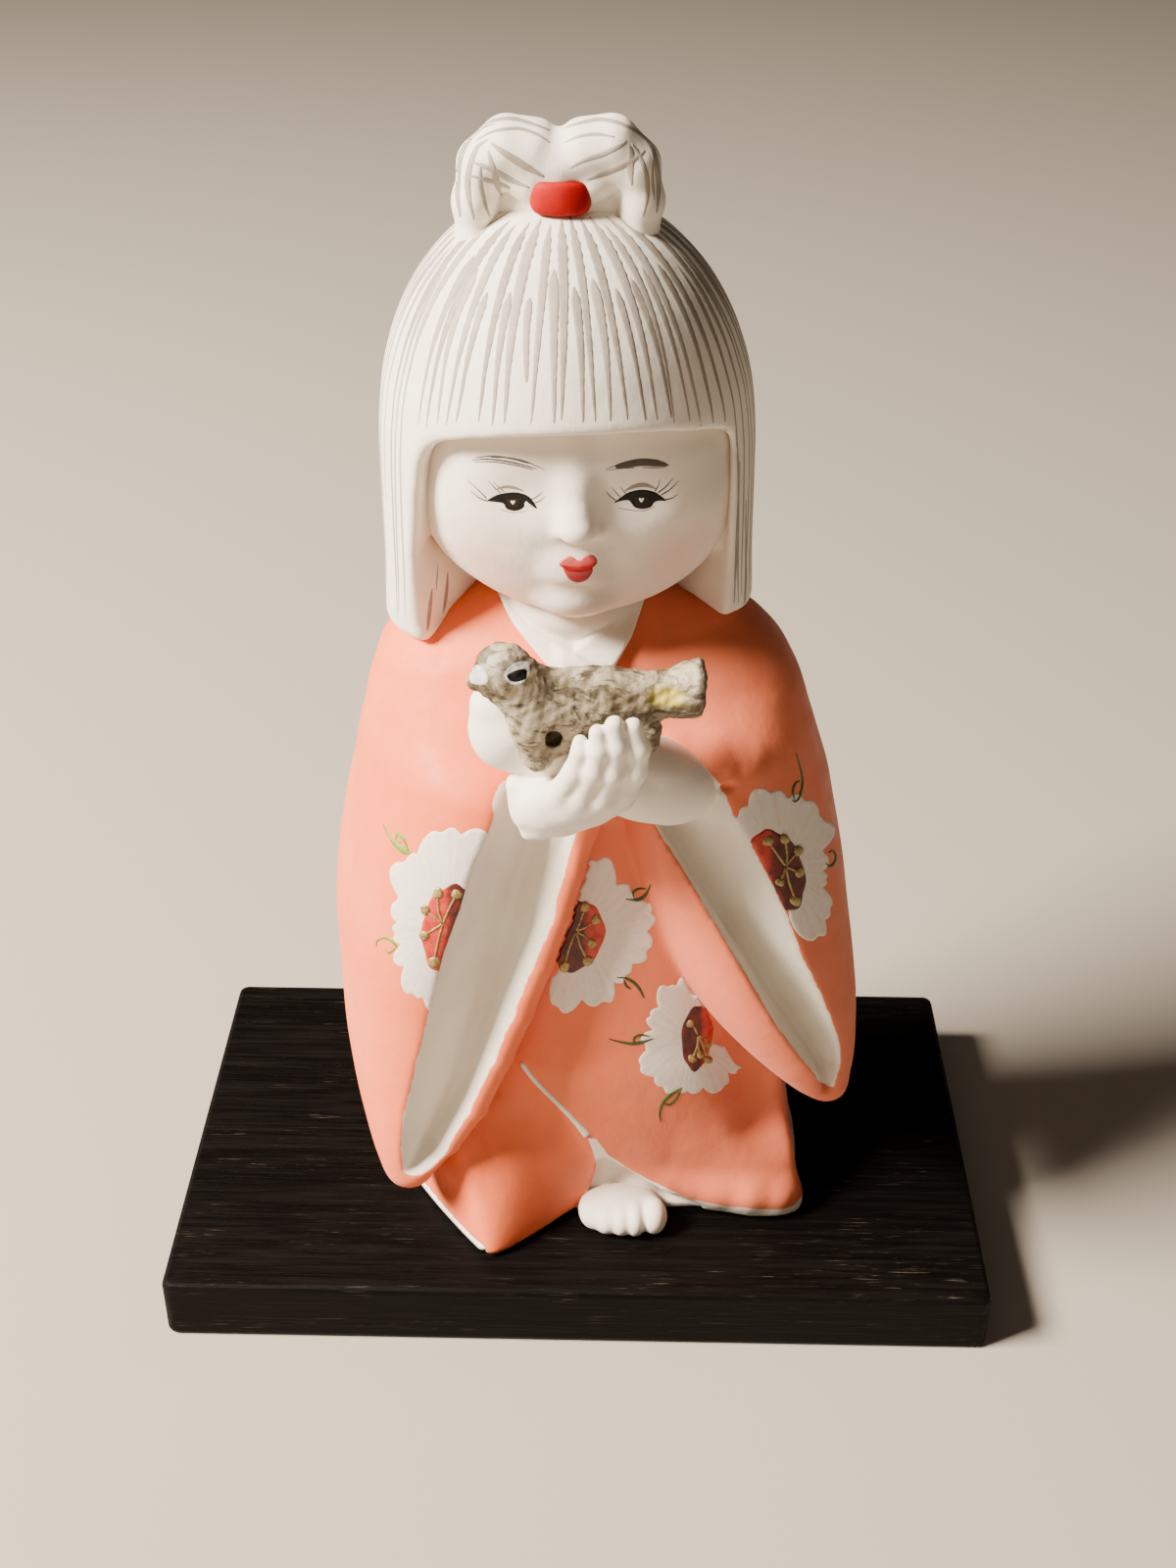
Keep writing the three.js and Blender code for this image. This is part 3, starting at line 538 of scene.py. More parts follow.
def white_clay(name, base=(0.86, 0.805, 0.715), tint=(0.79, 0.72, 0.62), rough=0.62):
    t = Tree(name)
    patch = t.noise(60, 4, 0.6)
    fine = t.noise(420, 3, 0.6)
    c = t.mix(t.ramp(patch, 0.42, 0.72), base, tint)
    c = t.mix(t.ramp(fine, 0.62, 0.8, 0, 0.35), c, (0.68, 0.61, 0.52))
    t.set("Base Color", c)
    t.set("Roughness", t.ramp(t.noise(300, 3), 0.3, 0.7, rough - 0.07, rough + 0.1))
    t.bsdf.inputs["Specular IOR Level"].default_value = 0.32
    t.bsdf.inputs["Sheen Weight"].default_value = 0.12
    t.bsdf.inputs["Sheen Roughness"].default_value = 0.5
    clay_bump(t)
    return t


def plain_paint(name, base, dark, rough=0.5, scale=500, spec=0.35, bump=0.3):
    t = Tree(name)
    c = t.mix(t.ramp(t.noise(scale, 4, 0.65), 0.35, 0.75), base, dark)
    t.set("Base Color", c)
    t.set("Roughness", t.ramp(t.noise(600, 2), 0.3, 0.7, rough - 0.06, rough + 0.08))
    t.bsdf.inputs["Specular IOR Level"].default_value = spec
    t.set("Normal", t.bump(t.noise(1600, 3, 0.6), bump, 0.00006, t.bump(t.noise(90, 3, 0.5), 0.3, 0.001)))
    return t


def robe_material():
    t = Tree("robe_paint")
    salmon, deep, pale = (0.84, 0.150, 0.046), (0.70, 0.105, 0.032), (0.88, 0.185, 0.065)
    c = t.mix(t.ramp(t.noise(38, 4, 0.6), 0.35, 0.72), salmon, pale)
    c = t.mix(t.ramp(t.noise(160, 5, 0.65, vec=t.scaled(1, 1, 0.4)), 0.52, 0.80, 0, 0.45), c, deep)
    c = t.mix(t.ramp(t.noise(900, 3, 0.6), 0.66, 0.8, 0, 0.4), c, (0.55, 0.125, 0.06))
    # painted shade: the salmon turns darker and duller towards the viewer's right (x from -14 to +22 mm), standing in
    # for the shade on the side turned from the light
    c = t.mix(t.ramp(t.xyz()[0], -0.014, 0.022, 0, 0.65), c, (0.71, 0.180, 0.094))
    # the white lining: edges follow the distance kept on the mesh
    edge = t.math("ADD", t.attr("lining"), t.math("MULTIPLY", t.math("SUBTRACT", t.noise(260, 3), 0.5), 0.7))
    lining = t.ramp(edge, -0.10, 0.10, 1.0, 0.0)
    white = t.mix(t.ramp(t.noise(70, 4, 0.6, vec=t.scaled(1, 1, 0.5)), 0.4, 0.75), (0.86, 0.805, 0.715), (0.77, 0.70, 0.60))
    t.set("Base Color", t.mix(lining, c, white))
    t.set("Roughness", t.ramp(t.noise(260, 3), 0.3, 0.7, 0.50, 0.68))
    t.bsdf.inputs["Specular IOR Level"].default_value = 0.33
    t.bsdf.inputs["Sheen Weight"].default_value = 0.10
    t.bsdf.inputs["Sheen Roughness"].default_value = 0.5
    clay_bump(t, 0.4, 0.3)
    return t.m


M_ROBE = robe_material()
M_WHITE = white_clay("white_paint").m


def hair_material():
    t = white_clay("hair_paint", (0.86, 0.81, 0.72), (0.80, 0.74, 0.645))
    return t.m


def face_material():
    t = white_clay("face_paint", (0.86, 0.785, 0.695), (0.825, 0.74, 0.65), 0.66)
    c = t.bsdf.inputs["Base Color"].links[0].from_socket
    blush = t.math("MULTIPLY", t.near(-18.5, -27, 161, 1, 13, (1, 1, 1.15)), 0.55)
    blush2 = t.math("MULTIPLY", t.near(19.0, -27, 161.5, 1, 13, (1, 1, 1.15)), 0.55)
    c = t.mix(blush, c, (0.78, 0.46, 0.38))
    c = t.mix(blush2, c, (0.78, 0.46, 0.38))
    t.set("Base Color", c)
    return t.m


M_HAIR = hair_material()
M_FACE = face_material()
M_RED = plain_paint("red_paint", (0.34, 0.0007, 0.0004), (0.25, 0.0005, 0.0003), 0.6, 300, 0.15).m


# ---------------------------------------------------------------- robe
ROBE = Loft([[0,6,-2,44,23.6,33,0,2.7],[10,6,-2,42.6,24.6,32.2,0,2.6],[20,6,-2,41,26,31.2,0,2.5],[35,5.5,-2,38,27.6,29.6,0,2.4],[50,5,-2,35.5,28.4,28.6,0,2.3],[70,4,-2,33.5,28,28,0,2.3],[90,3,-1.5,32.5,27,27.2,0,2.3],[105,2,-1,33,26.6,26.6,0,2.3],[115,1.5,-1,35,26.2,26.4,0,2.3],[125,0.5,-0.5,38,25.6,25.8,0,2.3],[132,0,0,38,24.6,24.4,0,2.3],[138,-0.5,0,34,22.4,21.6,0,2.2],[142,-1,0,27.5,19.6,18.6,0,2.1],[146,-1.5,0,19,16.6,15,0,2],[149,-1.5,0.5,13.5,13,12.5,0,2]])
SLEEVE_R = Loft([[12.6,-37,-31,1.6,1.8,1.8,0,2],[14.6,-37,-31,4.5,5,5,8,2],[20,-37.4,-28.6,6.9,9.5,10,15,2.1],[30,-37,-25,10,14.6,15,18,2.2],[45,-35.5,-20,14,20,20,20,2.2],[60,-33,-17.5,17,23,23,22,2.2],[80,-30,-15,20,26,25,25,2.2],[100,-25,-13,21.5,28,27,30,2.2],[115,-22,-12,21,27,26,33,2.2],[125,-21.5,-7.5,20.5,20.5,21,33,2.1],[133,-21,-4,17.5,14.5,15,33,2],[140,-18,-2,10,8,8,33,2]])
SLEEVE_L = Loft([[32.7,53.5,-24,1.6,1.6,1.6,0,2],[35.4,53.4,-24.4,4.3,4.6,5,-15,2],[40,51.6,-23,7,9,9.5,-25,2.1],[50,46.5,-21,12,14,14.5,-30,2.2],[60,42,-19,15.5,18,18.5,-32,2.2],[75,36.8,-16.5,18,22,22,-33,2.2],[90,32.8,-14.5,19,24,24,-35,2.2],[105,28.8,-12.5,19.5,25,24.5,-38,2.2],[118,26.6,-10.5,19,22,22,-38,2.1],[128,25.6,-6,18,16,17,-38,2],[136,22,-3,14.5,11.5,12,-38,2],[141,18,-2,8.5,7,7,-38,2]])
TAIL_L = Hull([(-38.9,-18,0),(-34,-25.6,0),(-18.8,-44.2,0),(-17,-43.6,0),(-10.4,-37.9,0),(-0.6,-28.2,0),(1.5,-22,0),(-24,-8,0),(-38.7,-17,6),(-19.4,-41.6,4.5),(-27.6,-32.6,19),(-29,-27,34),(-14,-27,32),(-1.5,-26.8,13),(-22,-12,34)])
TAIL_R = Hull([(21,-24.6,0),(29,-27.4,0),(38,-29.2,0),(44.6,-29.8,0),(49.6,-28.4,0),(51.6,-24,0),(46,4,0),(20,-10,0),(50.8,-26.6,5),(30,-28,10),(24,-27.4,22),(49,-22,18),(47.4,-20,28),(43,-14,46),(38,-20,46)])


class Groove:
    """The sleeve's open front: a valley between the outer edge O and the inner edge I, deepest at D, each given as rows [z, x, y]."""

    def __init__(self, O, D, I, zlo, zhi, soft=2.2):
        self.z = np.linspace(zlo, zhi, 200)
        f = lambda R: np.column_stack([np.interp(self.z, *self._xy(R, 1)), np.interp(self.z, *self._xy(R, 2))])
        self.O, self.D, self.I = f(O), f(D), f(I)
        self.zlo, self.zhi, self.soft = zlo, zhi, soft

        def side(A, B):
            t = B - A
            t /= np.linalg.norm(t, axis=1)[:, None]
            return t
        a = side(self.O, self.D)
        b = side(self.D, self.I)
        self.n1 = np.column_stack([-a[:, 1], a[:, 0]])   # left wall, outward from the valley
        self.n2 = np.column_stack([-b[:, 1], b[:, 0]])
        s = ((self.I - self.D) * self.n1).sum(1)
        self.n1[s > 0] *= -1
        s = ((self.O - self.D) * self.n2).sum(1)
        self.n2[s > 0] *= -1
        self.T = np.column_stack([self.D, self.n1, self.n2]).astype(np.float32)

    @staticmethod
    def _xy(R, c):
        R = np.array(R, float)
        R = R[np.argsort(R[:, 0])]
        return R[:, 0], R[:, c]

    def __call__(self, P):
        z = P[:, 2]
        u = (np.clip(z, self.zlo, self.zhi) - self.zlo) / (self.z[1] - self.z[0])
        i = np.minimum(u.astype(np.int32), len(self.z) - 2)
        w = (u - i)[:, None].astype(np.float32)
        R = self.T[i] * (1 - w) + self.T[i + 1] * w
        dx, dy = P[:, 0] - R[:, 0], P[:, 1] - R[:, 1]
        d = smax(dx * R[:, 2] + dy * R[:, 3], dx * R[:, 4] + dy * R[:, 5], self.soft)
        return np.maximum(d, np.maximum(self.zlo - z, z - self.zhi) * 0.8)


GROOVE_R = Groove(
    [(20.0,-37.9,-39.4),(23.4,-37.6,-38.9),(32.6,-37.2,-39.2),(41.1,-35.8,-39.3),(52.3,-33.2,-39.8),(63.1,-30.7,-40.1),(73.6,-28.3,-40.4),(83.6,-26,-40.5),(93.2,-22.8,-40.5),(104.4,-19.7,-39.7),(110.6,-16.8,-38.8),(114.6,-15.8,-38),(119.1,-14.4,-34.6),(127,-12,-33)],
    [(20.0,-36.8,-39.0),(22.5,-35.4,-35.6),(26.5,-32.4,-31.6),(33,-28.6,-29.4),(41.2,-25.1,-28.8),(54.8,-21.6,-28.4),(68,-18.3,-28.4),(82.8,-14.8,-28),(94.6,-11.9,-28),(101.3,-10.2,-28),(115,-7,-29),(130,-4,-30)],
    [(20.0,-35.6,-39.4),(21.3,-33.9,-37.9),(25,-29.6,-36.2),(37.4,-23.7,-36.5),(51.6,-18.2,-37),(63.5,-13.9,-37),(75.8,-9.8,-36.5),(87.8,-5.8,-36),(98.6,-2.9,-36),(106.7,-1,-36),(118,3,-35),(130,6,-34)],
    20.0, 125.0)
GROOVE_L = Groove(
    [(38.5,54.6,-31.4),(41.9,54.8,-30.6),(46.5,55.9,-29.4),(53.7,54.5,-29.9),(65.5,50.4,-31.6),(76.8,45.5,-33.1),(89.3,40.8,-33.6),(103.6,34.2,-33.8),(110.4,30.1,-33.8),(115.2,28.1,-32.6),(120.2,23.3,-30.2),(122.1,18.6,-27.3),(131,12,-25)],
    [(38.5,53.4,-31.0),(41,52.4,-27.2),(45.4,49.8,-25),(55,44.3,-25.4),(67.5,37.4,-26),(80.4,30.1,-26.5),(91.3,23.8,-26.8),(99.7,18.8,-27),(112,12,-26),(131,2,-24)],
    [(38.5,52.2,-31.4),(42,51.6,-31),(46.2,50.6,-33.2),(54.3,45.8,-35.5),(64.7,40,-37.2),(77.8,33.4,-37.9),(89.5,27,-37.4),(100.3,21,-36.1),(107.8,16,-33.7),(120,8,-33),(134,-2,-32)],
    38.5, 124.0)
LIP_R = [(-34.2,-36,20,1.5),(-32,-35.2,22.6,2.0),(-27.8,-34.2,27,2.6),(-22.2,-34.2,37.4,3.1),(-16.8,-34.4,51.6,3.3),(-12.4,-34.2,63.5,3.3),(-8.2,-33.8,75.8,3.2),(-4.4,-33.4,87.8,3),(-1.6,-33,98.6,2.8),(0.8,-32.6,106.7,2.6),(4,-32,114,2.4)]

PIPE = [(-14.8,47),(-12.6,43.6),(-10.5,40.6),(-6.4,34.5),(-2.1,27.3),(1.1,21),(3.3,16.8)]      # x, z of the overlap edge
ARCH = [(-0.6,-3),(-0.2,0),(1.8,3.1),(2.9,7.2),(3.8,11.2),(3.9,14.2),(4.8,16.5),(6.5,16.5),(10.9,13.5),(15.4,10),(19.8,7.1),(24.3,4.4),(27.5,2.4),(29,-3)]
# white areas as the eye sees them: the two sleeve openings, the hem band on the right
WHITE_R = [(513,800),(505,830),(500,850),(485,880),(470,930),(455,970),(445,1010),(435,1050),(425,1090),(415,1130),(410,1160),(412,1190),(420,1196),(430,1195),(450,1175),(475,1135),(500,1085),(520,1040),(540,990),(560,940),(575,895),(585,860),(592,838),(600,800)]
WHITE_L = [(690,768),(715,785),(740,815),(750,840),(770,870),(800,930),(820,980),(840,1020),(855,1060),(858,1085),(850,1104),(835,1098),(815,1075),(790,1040),(760,990),(730,940),(700,890),(675,850),(655,820),(660,780)]
WHITE_HEM = [(672,1208),(686,1216),(700,1222),(720,1227),(740,1230.5),(780,1234.5),(800,1233.5),(811,1229),(818,1221),(826,1210),(838,1214),(838,1268),(672,1268)]
WHITE_ARCH = [(595.5,1155.5),(602,1167),(606.5,1178),(608.5,1188),(606,1202),(598,1217),(588,1232),(588,1246),(694,1246),(690,1217),(680,1212.5),(660,1203),(640,1192),(621,1178.5),(613,1169),(604.5,1156)]
SALMON_HEM = [(501,1284.5),(507,1283.5),(520,1275.5),(540,1263.5),(560,1251.5),(575,1241.5),(590,1228),(600,1200),(560,1200),(505,1262),(496,1278)]


def from_px(rows):
    """Limb rows from picture points: [px, py, y, r]."""
    return [(*at_y(a, b, y), r) for a, b, y, r in rows]


CREASE_ELBOW = from_px([(664,728,-30.6,1.8),(700,739,-31.4,2.4),(735,741,-31.4,2.8),(770,739,-30.4,2.4),(796,732,-28.0,1.8)])
FOLD_ELBOW = from_px([(692,770,-27.0,2.0),(726,777,-27.8,2.8),(760,784,-26.4,2.0)])
SCOOP_HEM = from_px([(754,1078,-27.5,4.8),(776,1112,-26.2,6.4),(791,1146,-26.0,6.2),(798,1167,-28.2,3.8)])
ROLL_HEM = from_px([(640,1190,-25.2,1.8),(680,1204,-25.4,2.6),(730,1212,-26.0,3.2),(765,1216,-26.6,3.3),(792,1217,-25.8,2.8),(802,1216,-24.0,2.2)])
CREASE_ARM = from_px([(462,676,-28.0,1.6),(478,705,-31.8,2.0),(500,742,-35.6,1.8)])
DENTS = [(at_y(742, 804, -31.9), (1.5, 1.0, 0.7)), (at_y(757, 786, -31.4), (0.7, 1.2, 1.6)), (at_y(734, 792, -32.3), (1.4, 0.9, 0.6))]


def sleeve_r(P):
    return smax(smin(SLEEVE_R(P), limb(P, LIP_R, 1.0), 3.5), -GROOVE_R(P), 1.0)


def sleeve_l(P):
    return smax(SLEEVE_L(P), -GROOVE_L(P), 1.0)


def base_paint(P):
    """Above zero where the salmon paint runs down over the white edge."""
    px, py = project(P)
    d = -poly2d(px, py, SALMON_HEM) * 0.2
    return np.where((P[:, 1] < -20) & (P[:, 0] < 2.5), d, -5.0)


def reaches_down(P):
    """1 where the robe goes down to the board and hides the white edge behind it."""
    return np.maximum(smooth(-1.5, 0.5, base_paint(P)), smooth(20, 27, P[:, 0]) * smooth(-13, -17, P[:, 1]))


def arch_cut(P):
    return np.maximum(poly2d(P[:, 0], P[:, 2], ARCH), P[:, 1] + 17.0)


def skirt_shell(P):
    d = ROBE(P)
    d = smin(d, TAIL_L(P), 5.0)
    return smin(d, TAIL_R(P), 4.0)


def kimono_field(P):
    x, y, z = P[:, 0], P[:, 1], P[:, 2]
    d = ROBE(P)
    d = smin(d, TAIL_L(P), 5.0)
    # the right-hand panel lies over the left one: a step along the overlap edge
    xp = np.interp(z, [p[1] for p in PIPE][::-1], [p[0] for p in PIPE][::-1])
    step = smooth(-0.5, 0.5, x - xp) * smooth(50, 42, z) * smooth(-18, -24, y)
    d = d - 0.7 * step
    d = smin(d, TAIL_R(P), 4.0)
    d = smax(d, -limb(P, SCOOP_HEM, 3.0), 6.0)
    d = smin(d, limb(P, ROLL_HEM, 2.0), 4.5)
    k = 1.0 + 9.0 * smooth(106, 128, z)
    d = smin(d, sleeve_r(P), k)
    d = smin(d, sleeve_l(P), k)
    # folds: the bent elbow on the right, dents beside the cuff, the hollow of the left arm
    d = smax(d, -limb(P, CREASE_ELBOW, 2.0), 5.0)
    d = smin(d, limb(P, FOLD_ELBOW, 2.0), 5.0)
    for q, r in DENTS:
        d = smax(d, -ball(P, q, r), 1.2)
    d = smax(d, -limb(P, CREASE_ARM, 2.0), 4.0)
    d = smax(d, -arch_cut(P), 0.7)
    return smax(d, 2.3 - 1.7 * reaches_down(P) - z, 0.5)


def lining_dist(P):
    """Below zero where the white lining or the white hem shows."""
    px, py = project(P)
    out = np.full(len(P), 5.0, np.float32)
    for g, outline in ((GROOVE_R, WHITE_R), (GROOVE_L, WHITE_L)):
        gd = g(P)
        near = gd < 3.2
        if near.any():
            e = poly2d(px[near], py[near], outline) * 0.19
            gn = gd[near]
            out[near] = np.minimum(out[near], np.minimum(np.maximum(gn - 0.35, e - 1.0), np.maximum(e, gn - 3.0)))
    mid = (P[:, 2] < 24) & (P[:, 1] < -15) & (P[:, 0] > -6) & (P[:, 0] < 30)
    if mid.any():
        out[mid] = np.minimum(out[mid], poly2d(px[mid], py[mid], WHITE_ARCH) * 0.2)
    low = (P[:, 2] < 9) & (P[:, 1] < -15) & (P[:, 0] > 15)
    if low.any():
        out[low] = np.minimum(out[low], poly2d(px[low], py[low], WHITE_HEM) * 0.2)
    return out


piece("kimono", kimono_field, (-53, -46, 0), (61, 34, 151), 0.84, M_ROBE, "figure",
      ("kimono_body", "right_sleeve", "left_sleeve"), {"lining": lining_dist})


# ---------------------------------------------------------------- white skirt base, foot
def base_field(P):
    x, y, z = P[:, 0], P[:, 1], P[:, 2]
    shell = smin(skirt_shell(P), limb(P, ROLL_HEM, 2.0), 4.5)
    plate = smax(shell - 0.15 - 0.35 * smooth(10, 30, x) + 0.8 * reaches_down(P), z - 2.35, 0.5)
    plate = smax(plate, 0.05 - z, 0.4)
    inner = np.maximum(ROBE(P) + 0.4 + 2.4 * smooth(1, 12, z), z - 26)
    inner = smax(inner, 0.05 - z, 0.4)
    folds = 0.45 * np.cos((x - 4 - 0.16 * z) * 0.62) * smooth(-10, -22, y) * smooth(0, 5, z)
    inner = inner - folds
    return smin(plate, inner, 1.6)


piece("underskirt", base_field, (-46, -48, -0.6), (56, 34, 27), 0.7, M_ROBE, "figure", ("underskirt_base",), {"lining": base_paint})


def foot_field(P):
    d = ball(P, (9.6, -28.8, 2.8), (9.4, 6.6, 4.2))
    toes = [((3.7, -30.9, 2.4), (3.0, 3.4, 2.8)), ((6.5, -32.2, 2.6), (2.7, 3.7, 3.0)), ((9.8, -32.9, 2.9), (2.4, 3.6, 3.3)), ((12.9, -33.1, 3.2), (2.4, 3.6, 3.7)), ((17.0, -32.2, 3.5), (3.0, 3.9, 4.0))]
    t = None
    for c, r in toes:
        b = ball(P, c, r)
        t = b if t is None else smin(t, b, 0.9)
    d = smin(d, t, 1.6)
    return smax(d, 0.15 - P[:, 2], 0.5)


piece("foot", foot_field, (-1, -38, -0.5), (21, -21, 10.5), 0.45, M_WHITE, "figure", ("tabi_foot",))

# ---------------------------------------------------------------- hands
LEFT_HAND = [(19.6,-29.2,116.2,7.2),(13,-32,119.6,7.6),(6,-34.4,124.2,7.4),(-4,-35.5,128.5,7.6),(-12.6,-36.6,132.6,6.6)]

RIGHT_PALM = from_px([(548,822,-41.5,4.6),(562,818,-42.8,5.2),(585,814,-43.6,5.0),(618,804,-44,4.2)])
CUFF = from_px([(530,800,-40,2.5),(538,828,-41,2.3),(540,849,-42,1.3),(552,846,-42.6,1.7),(576,839,-43,2.3),(610,827,-43.5,2.3),(636,815,-43.6,2.1)])
FINGERS = [from_px([(548,820,-44.6,2.4),(570,810,-46.4,2.1),(586,788,-47.6,1.9),(593,766,-48.0,1.55),(592,757,-47.6,1.2)]),
           from_px([(570,826,-45.0,2.4),(592,812,-46.8,2.15),(606,786,-48.4,2.0),(612,764,-49.0,1.8),(610,748,-48.8,1.45)]),
           from_px([(594,828,-45.0,2.4),(613,814,-46.6,2.1),(625,788,-48.2,1.95),(630,762,-48.8,1.8),(627,740,-48.6,1.6)]),
           from_px([(620,818,-44.6,2.2),(638,806,-45.8,2.0),(649,786,-47.0,1.9),(652,764,-47.6,1.8),(646,742,-47.6,1.6)])]


def left_hand_field(P):
    d = limb(P, LEFT_HAND, 3.0)
    d = smin(d, ball(P, at_y(517, 742, -36.5), (6.8, 5.6, 8.4)), 3.0)
    d = smin(d, ball(P, at_y(505, 716, -37.0), (4.4, 4.2, 3.4)), 2.5)
    return smin(d, limb(P, [(17,-32,114.6,4.6),(10,-35.4,118.6,4.2),(3,-37.8,121.6,4.2),(-4,-38.5,122.6,4.6)], 2.0), 3.0)


def right_hand_field(P):
    d = limb(P, RIGHT_PALM, 2.0)
    d = smin(d, limb(P, CUFF, 1.0), 3.0)
    g = None
    for f in FINGERS:
        v = limb(P, [(a, b, c, 1.1 * r) for a, b, c, r in f], 1.0)
        g = v if g is None else smin(g, v, 0.85)
    return smin(d, g, 1.4)


piece("left_hand", left_hand_field, (-21, -47, 100), (43, -11, 144), 0.55, M_WHITE, "figure", ("left_hand",))
piece("right_hand", right_hand_field, (-19, -52, 108), (18, -31, 145), 0.45, M_WHITE, "figure", ("right_hand",))

# ---------------------------------------------------------------- collar
COLLAR_OUT = [(-24,152),(-17.7,148.9),(-13.3,145),(-8.6,141),(-2,135),(1.5,135),(6.7,139),(9.7,143.2),(12.8,148.9),(20,152)]
COLLAR_IN = [(-20,152),(-13.4,146.6),(-7.8,144.1),(-1.3,141.6),(2.4,144.2),(6,145.8),(14,152)]


def collar_field(P):
    x, y, z = P[:, 0], P[:, 1], P[:, 2]
    chest = ROBE(P)
    out = poly2d(x, z, COLLAR_OUT)
    inn = poly2d(x, z, COLLAR_IN)
    rise = 0.5 + 1.3 * smooth(-0.4, 0.4, inn)
    # the viewer-left band crosses over the other
    rise = rise + 0.6 * smooth(0.35, -0.35, (z - 141.6) + (x + 1.3) * 0.55) * smooth(-6, -3, x) * smooth(-0.4, 0.4, inn)
    neck = ball(P, (-1.2, -8, 147), (13, 14, 8))
    d = smax(chest - rise, out, 0.6)
    d = smin(d, neck, 1.5)
    return smax(d, y + 2.0, 0.5)


piece("collar", collar_field, (-25, -31, 132), (22, 0, 156), 0.5, M_WHITE, "figure", ("under_collar",))

# ---------------------------------------------------------------- head
SKULL = Loft([[146.6,-0.6,-6,7.5,9,8,4,2],[148.4,-0.6,-5.5,14,14.6,12,4,2],[152,-0.6,-4.5,21,20,17.5,4,2.1],[158,-1.0,-3,27.2,24.2,22,4,2.3],[165,-1.3,-2,30.1,27,24.6,4,2.5],[173,-1.4,-1.6,30.6,28.4,26,4,2.65],[181,-1.5,-1.4,29.8,28.4,26,4,2.6],[190,-1.5,-1.4,26.6,26.6,24.4,4,2.3],[198,-1.8,-1.4,21.6,22.6,20.8,4,2],[205,-2.4,-1.4,15.6,16.2,15,4,2],[209,-2.8,-1.4,9,9.4,8.8,4,2],[210.4,-3,-1.4,3,3.2,3,4,2]])


def head_field(P):
    d = SKULL(P)
    # eye sockets, a little hollow
    d = smax(d, -ball(P, (-12.6, -34.1, 175.5), (7.5, 4.2, 5.0)), 5.0)
    d = smax(d, -ball(P, (11.8, -33.7, 176.0), (7.5, 4.2, 5.0)), 5.0)
    d = smin(d, limb(P, [(-1.1,-27.6,184,2.0),(-.9,-28.9,178.5,2.3),(-.6,-30.5,173.6,2.9)], 2.0), 3.4)
    nose = ball(P, (-.4, -31.5, 170.9), (3.4, 3.3, 2.8))
    for cx, cz in ((-3.2, 169.7), (2.7, 169.9)):
        nose = smin(nose, ball(P, (cx, -29.4, cz), (1.6, 2.0, 1.5)), 1.0)
    d = smin(d, nose, 1.5)
    mouth = ball(P, (-.5, -26.2, 162.0), (6.2, 3.7, 4.8))
    d = smin(d, mouth, 3.0)
    for cx, cy in ((6.6, -28.2),):
        d = smax(d, -ball(P, (cx, cy - 2.1, 160.4), (1.7, 2.4, 2.8)), 3.2)
    d = smax(d, -ball(P, (-.6, -30.6, 157.4), (3.8, 1.7, 0.9)), 1.6)
    # the groove from nose to lip
    d = smax(d, -ball(P, (-.3, -31.2, 166.9), (1.0, 1.2, 1.6)), 1.2)
    chin = ball(P, (-1.1, -22.3, 153.8), (6.2, 5.2, 3.9))
    d = smin(d, chin, 3.4)
    return d


piece("head", head_field, (-32, -36, 145), (31, 27, 212), 0.7, M_FACE, "figure", ("head",))

# ---------------------------------------------------------------- hair
BOB = Loft([[137.6,-2.6,0.5,36.4,22,27.5,0,2.6],[146,-2.7,0,35.9,26,29.5,0,2.5],[156,-2.8,-0.5,35.5,30.5,31.5,0,2.35],[168,-2.9,-0.8,35.4,33.4,33,0,2.2],[178,-3,-1,35.2,34.6,33.4,0,2.1],[188,-3.1,-1,34.2,34.4,32.6,0,2.05],[197,-3.3,-1,31.8,32.4,30.4,0,2],[205,-3.5,-1,28,28.8,26.8,0,2],[212,-3.7,-1,22.6,23.2,21.6,0,2],[217,-3.9,-1,16.6,17,15.8,0,2],[220.4,-4,-1,9,9.4,8.6,0,2],[221.6,-4,-1,3.4,3.6,3.4,0,2]])


FRINGE = np.array([(-40,181),(-32,183.2),(-29,184.2),(-25.2,185.5),(-18.9,187.6),(-12,189),(-5.2,189.7),(1.4,189.9),(8.1,189.7),(14.8,188.9),(21.8,187),(25.8,185.5),(29,184.2),(32,183),(40,181)]) - (0, 0.3)
LOCK_L = np.array([(137,-29.4,-17.5),(139.9,-29.6,-17.7),(143.8,-30.7,-18.4),(153.6,-30.8,-21.3),(162.5,-30.4,-23.1),(171,-29.7,-24.4),(179,-28.8,-25.3),(190,-27.4,-27)])
LOCK_R = np.array([(137,27.0,-16.5),(146,27.3,-17.3),(151,27.5,-18.3),(157.3,27.7,-18.9),(165.8,27.3,-20),(173.7,27.2,-20.2),(183.2,27.0,-19.1),(190,26.8,-19)])


def window(P):
    x, y, z = P[:, 0], P[:, 1], P[:, 2]
    slope = 0.07 + 0.56 * smooth(166, 147, z)
    xl = np.interp(z, LOCK_L[:, 0], LOCK_L[:, 1]) + np.maximum(slope, 0.34 * smooth(156, 164, z)) * clamp(y - np.interp(z, LOCK_L[:, 0], LOCK_L[:, 2]), -12, 30)
    xr = np.interp(z, LOCK_R[:, 0], LOCK_R[:, 1]) - slope * clamp(y - np.interp(z, LOCK_R[:, 0], LOCK_R[:, 2]), -12, 30)
    d = smax(xl - x, x - xr, 0.5)
    d = smax(d, z - np.interp(x, FRINGE[:, 0], FRINGE[:, 1]), 7.0 - 2.5 * smooth(-20, -8, x))
    back = -10.5 - 3.2 * smooth(-20, 20, x)
    return smax(d, y - (back + (0.5 - back) * smooth(160, 148, z)), 1.0)


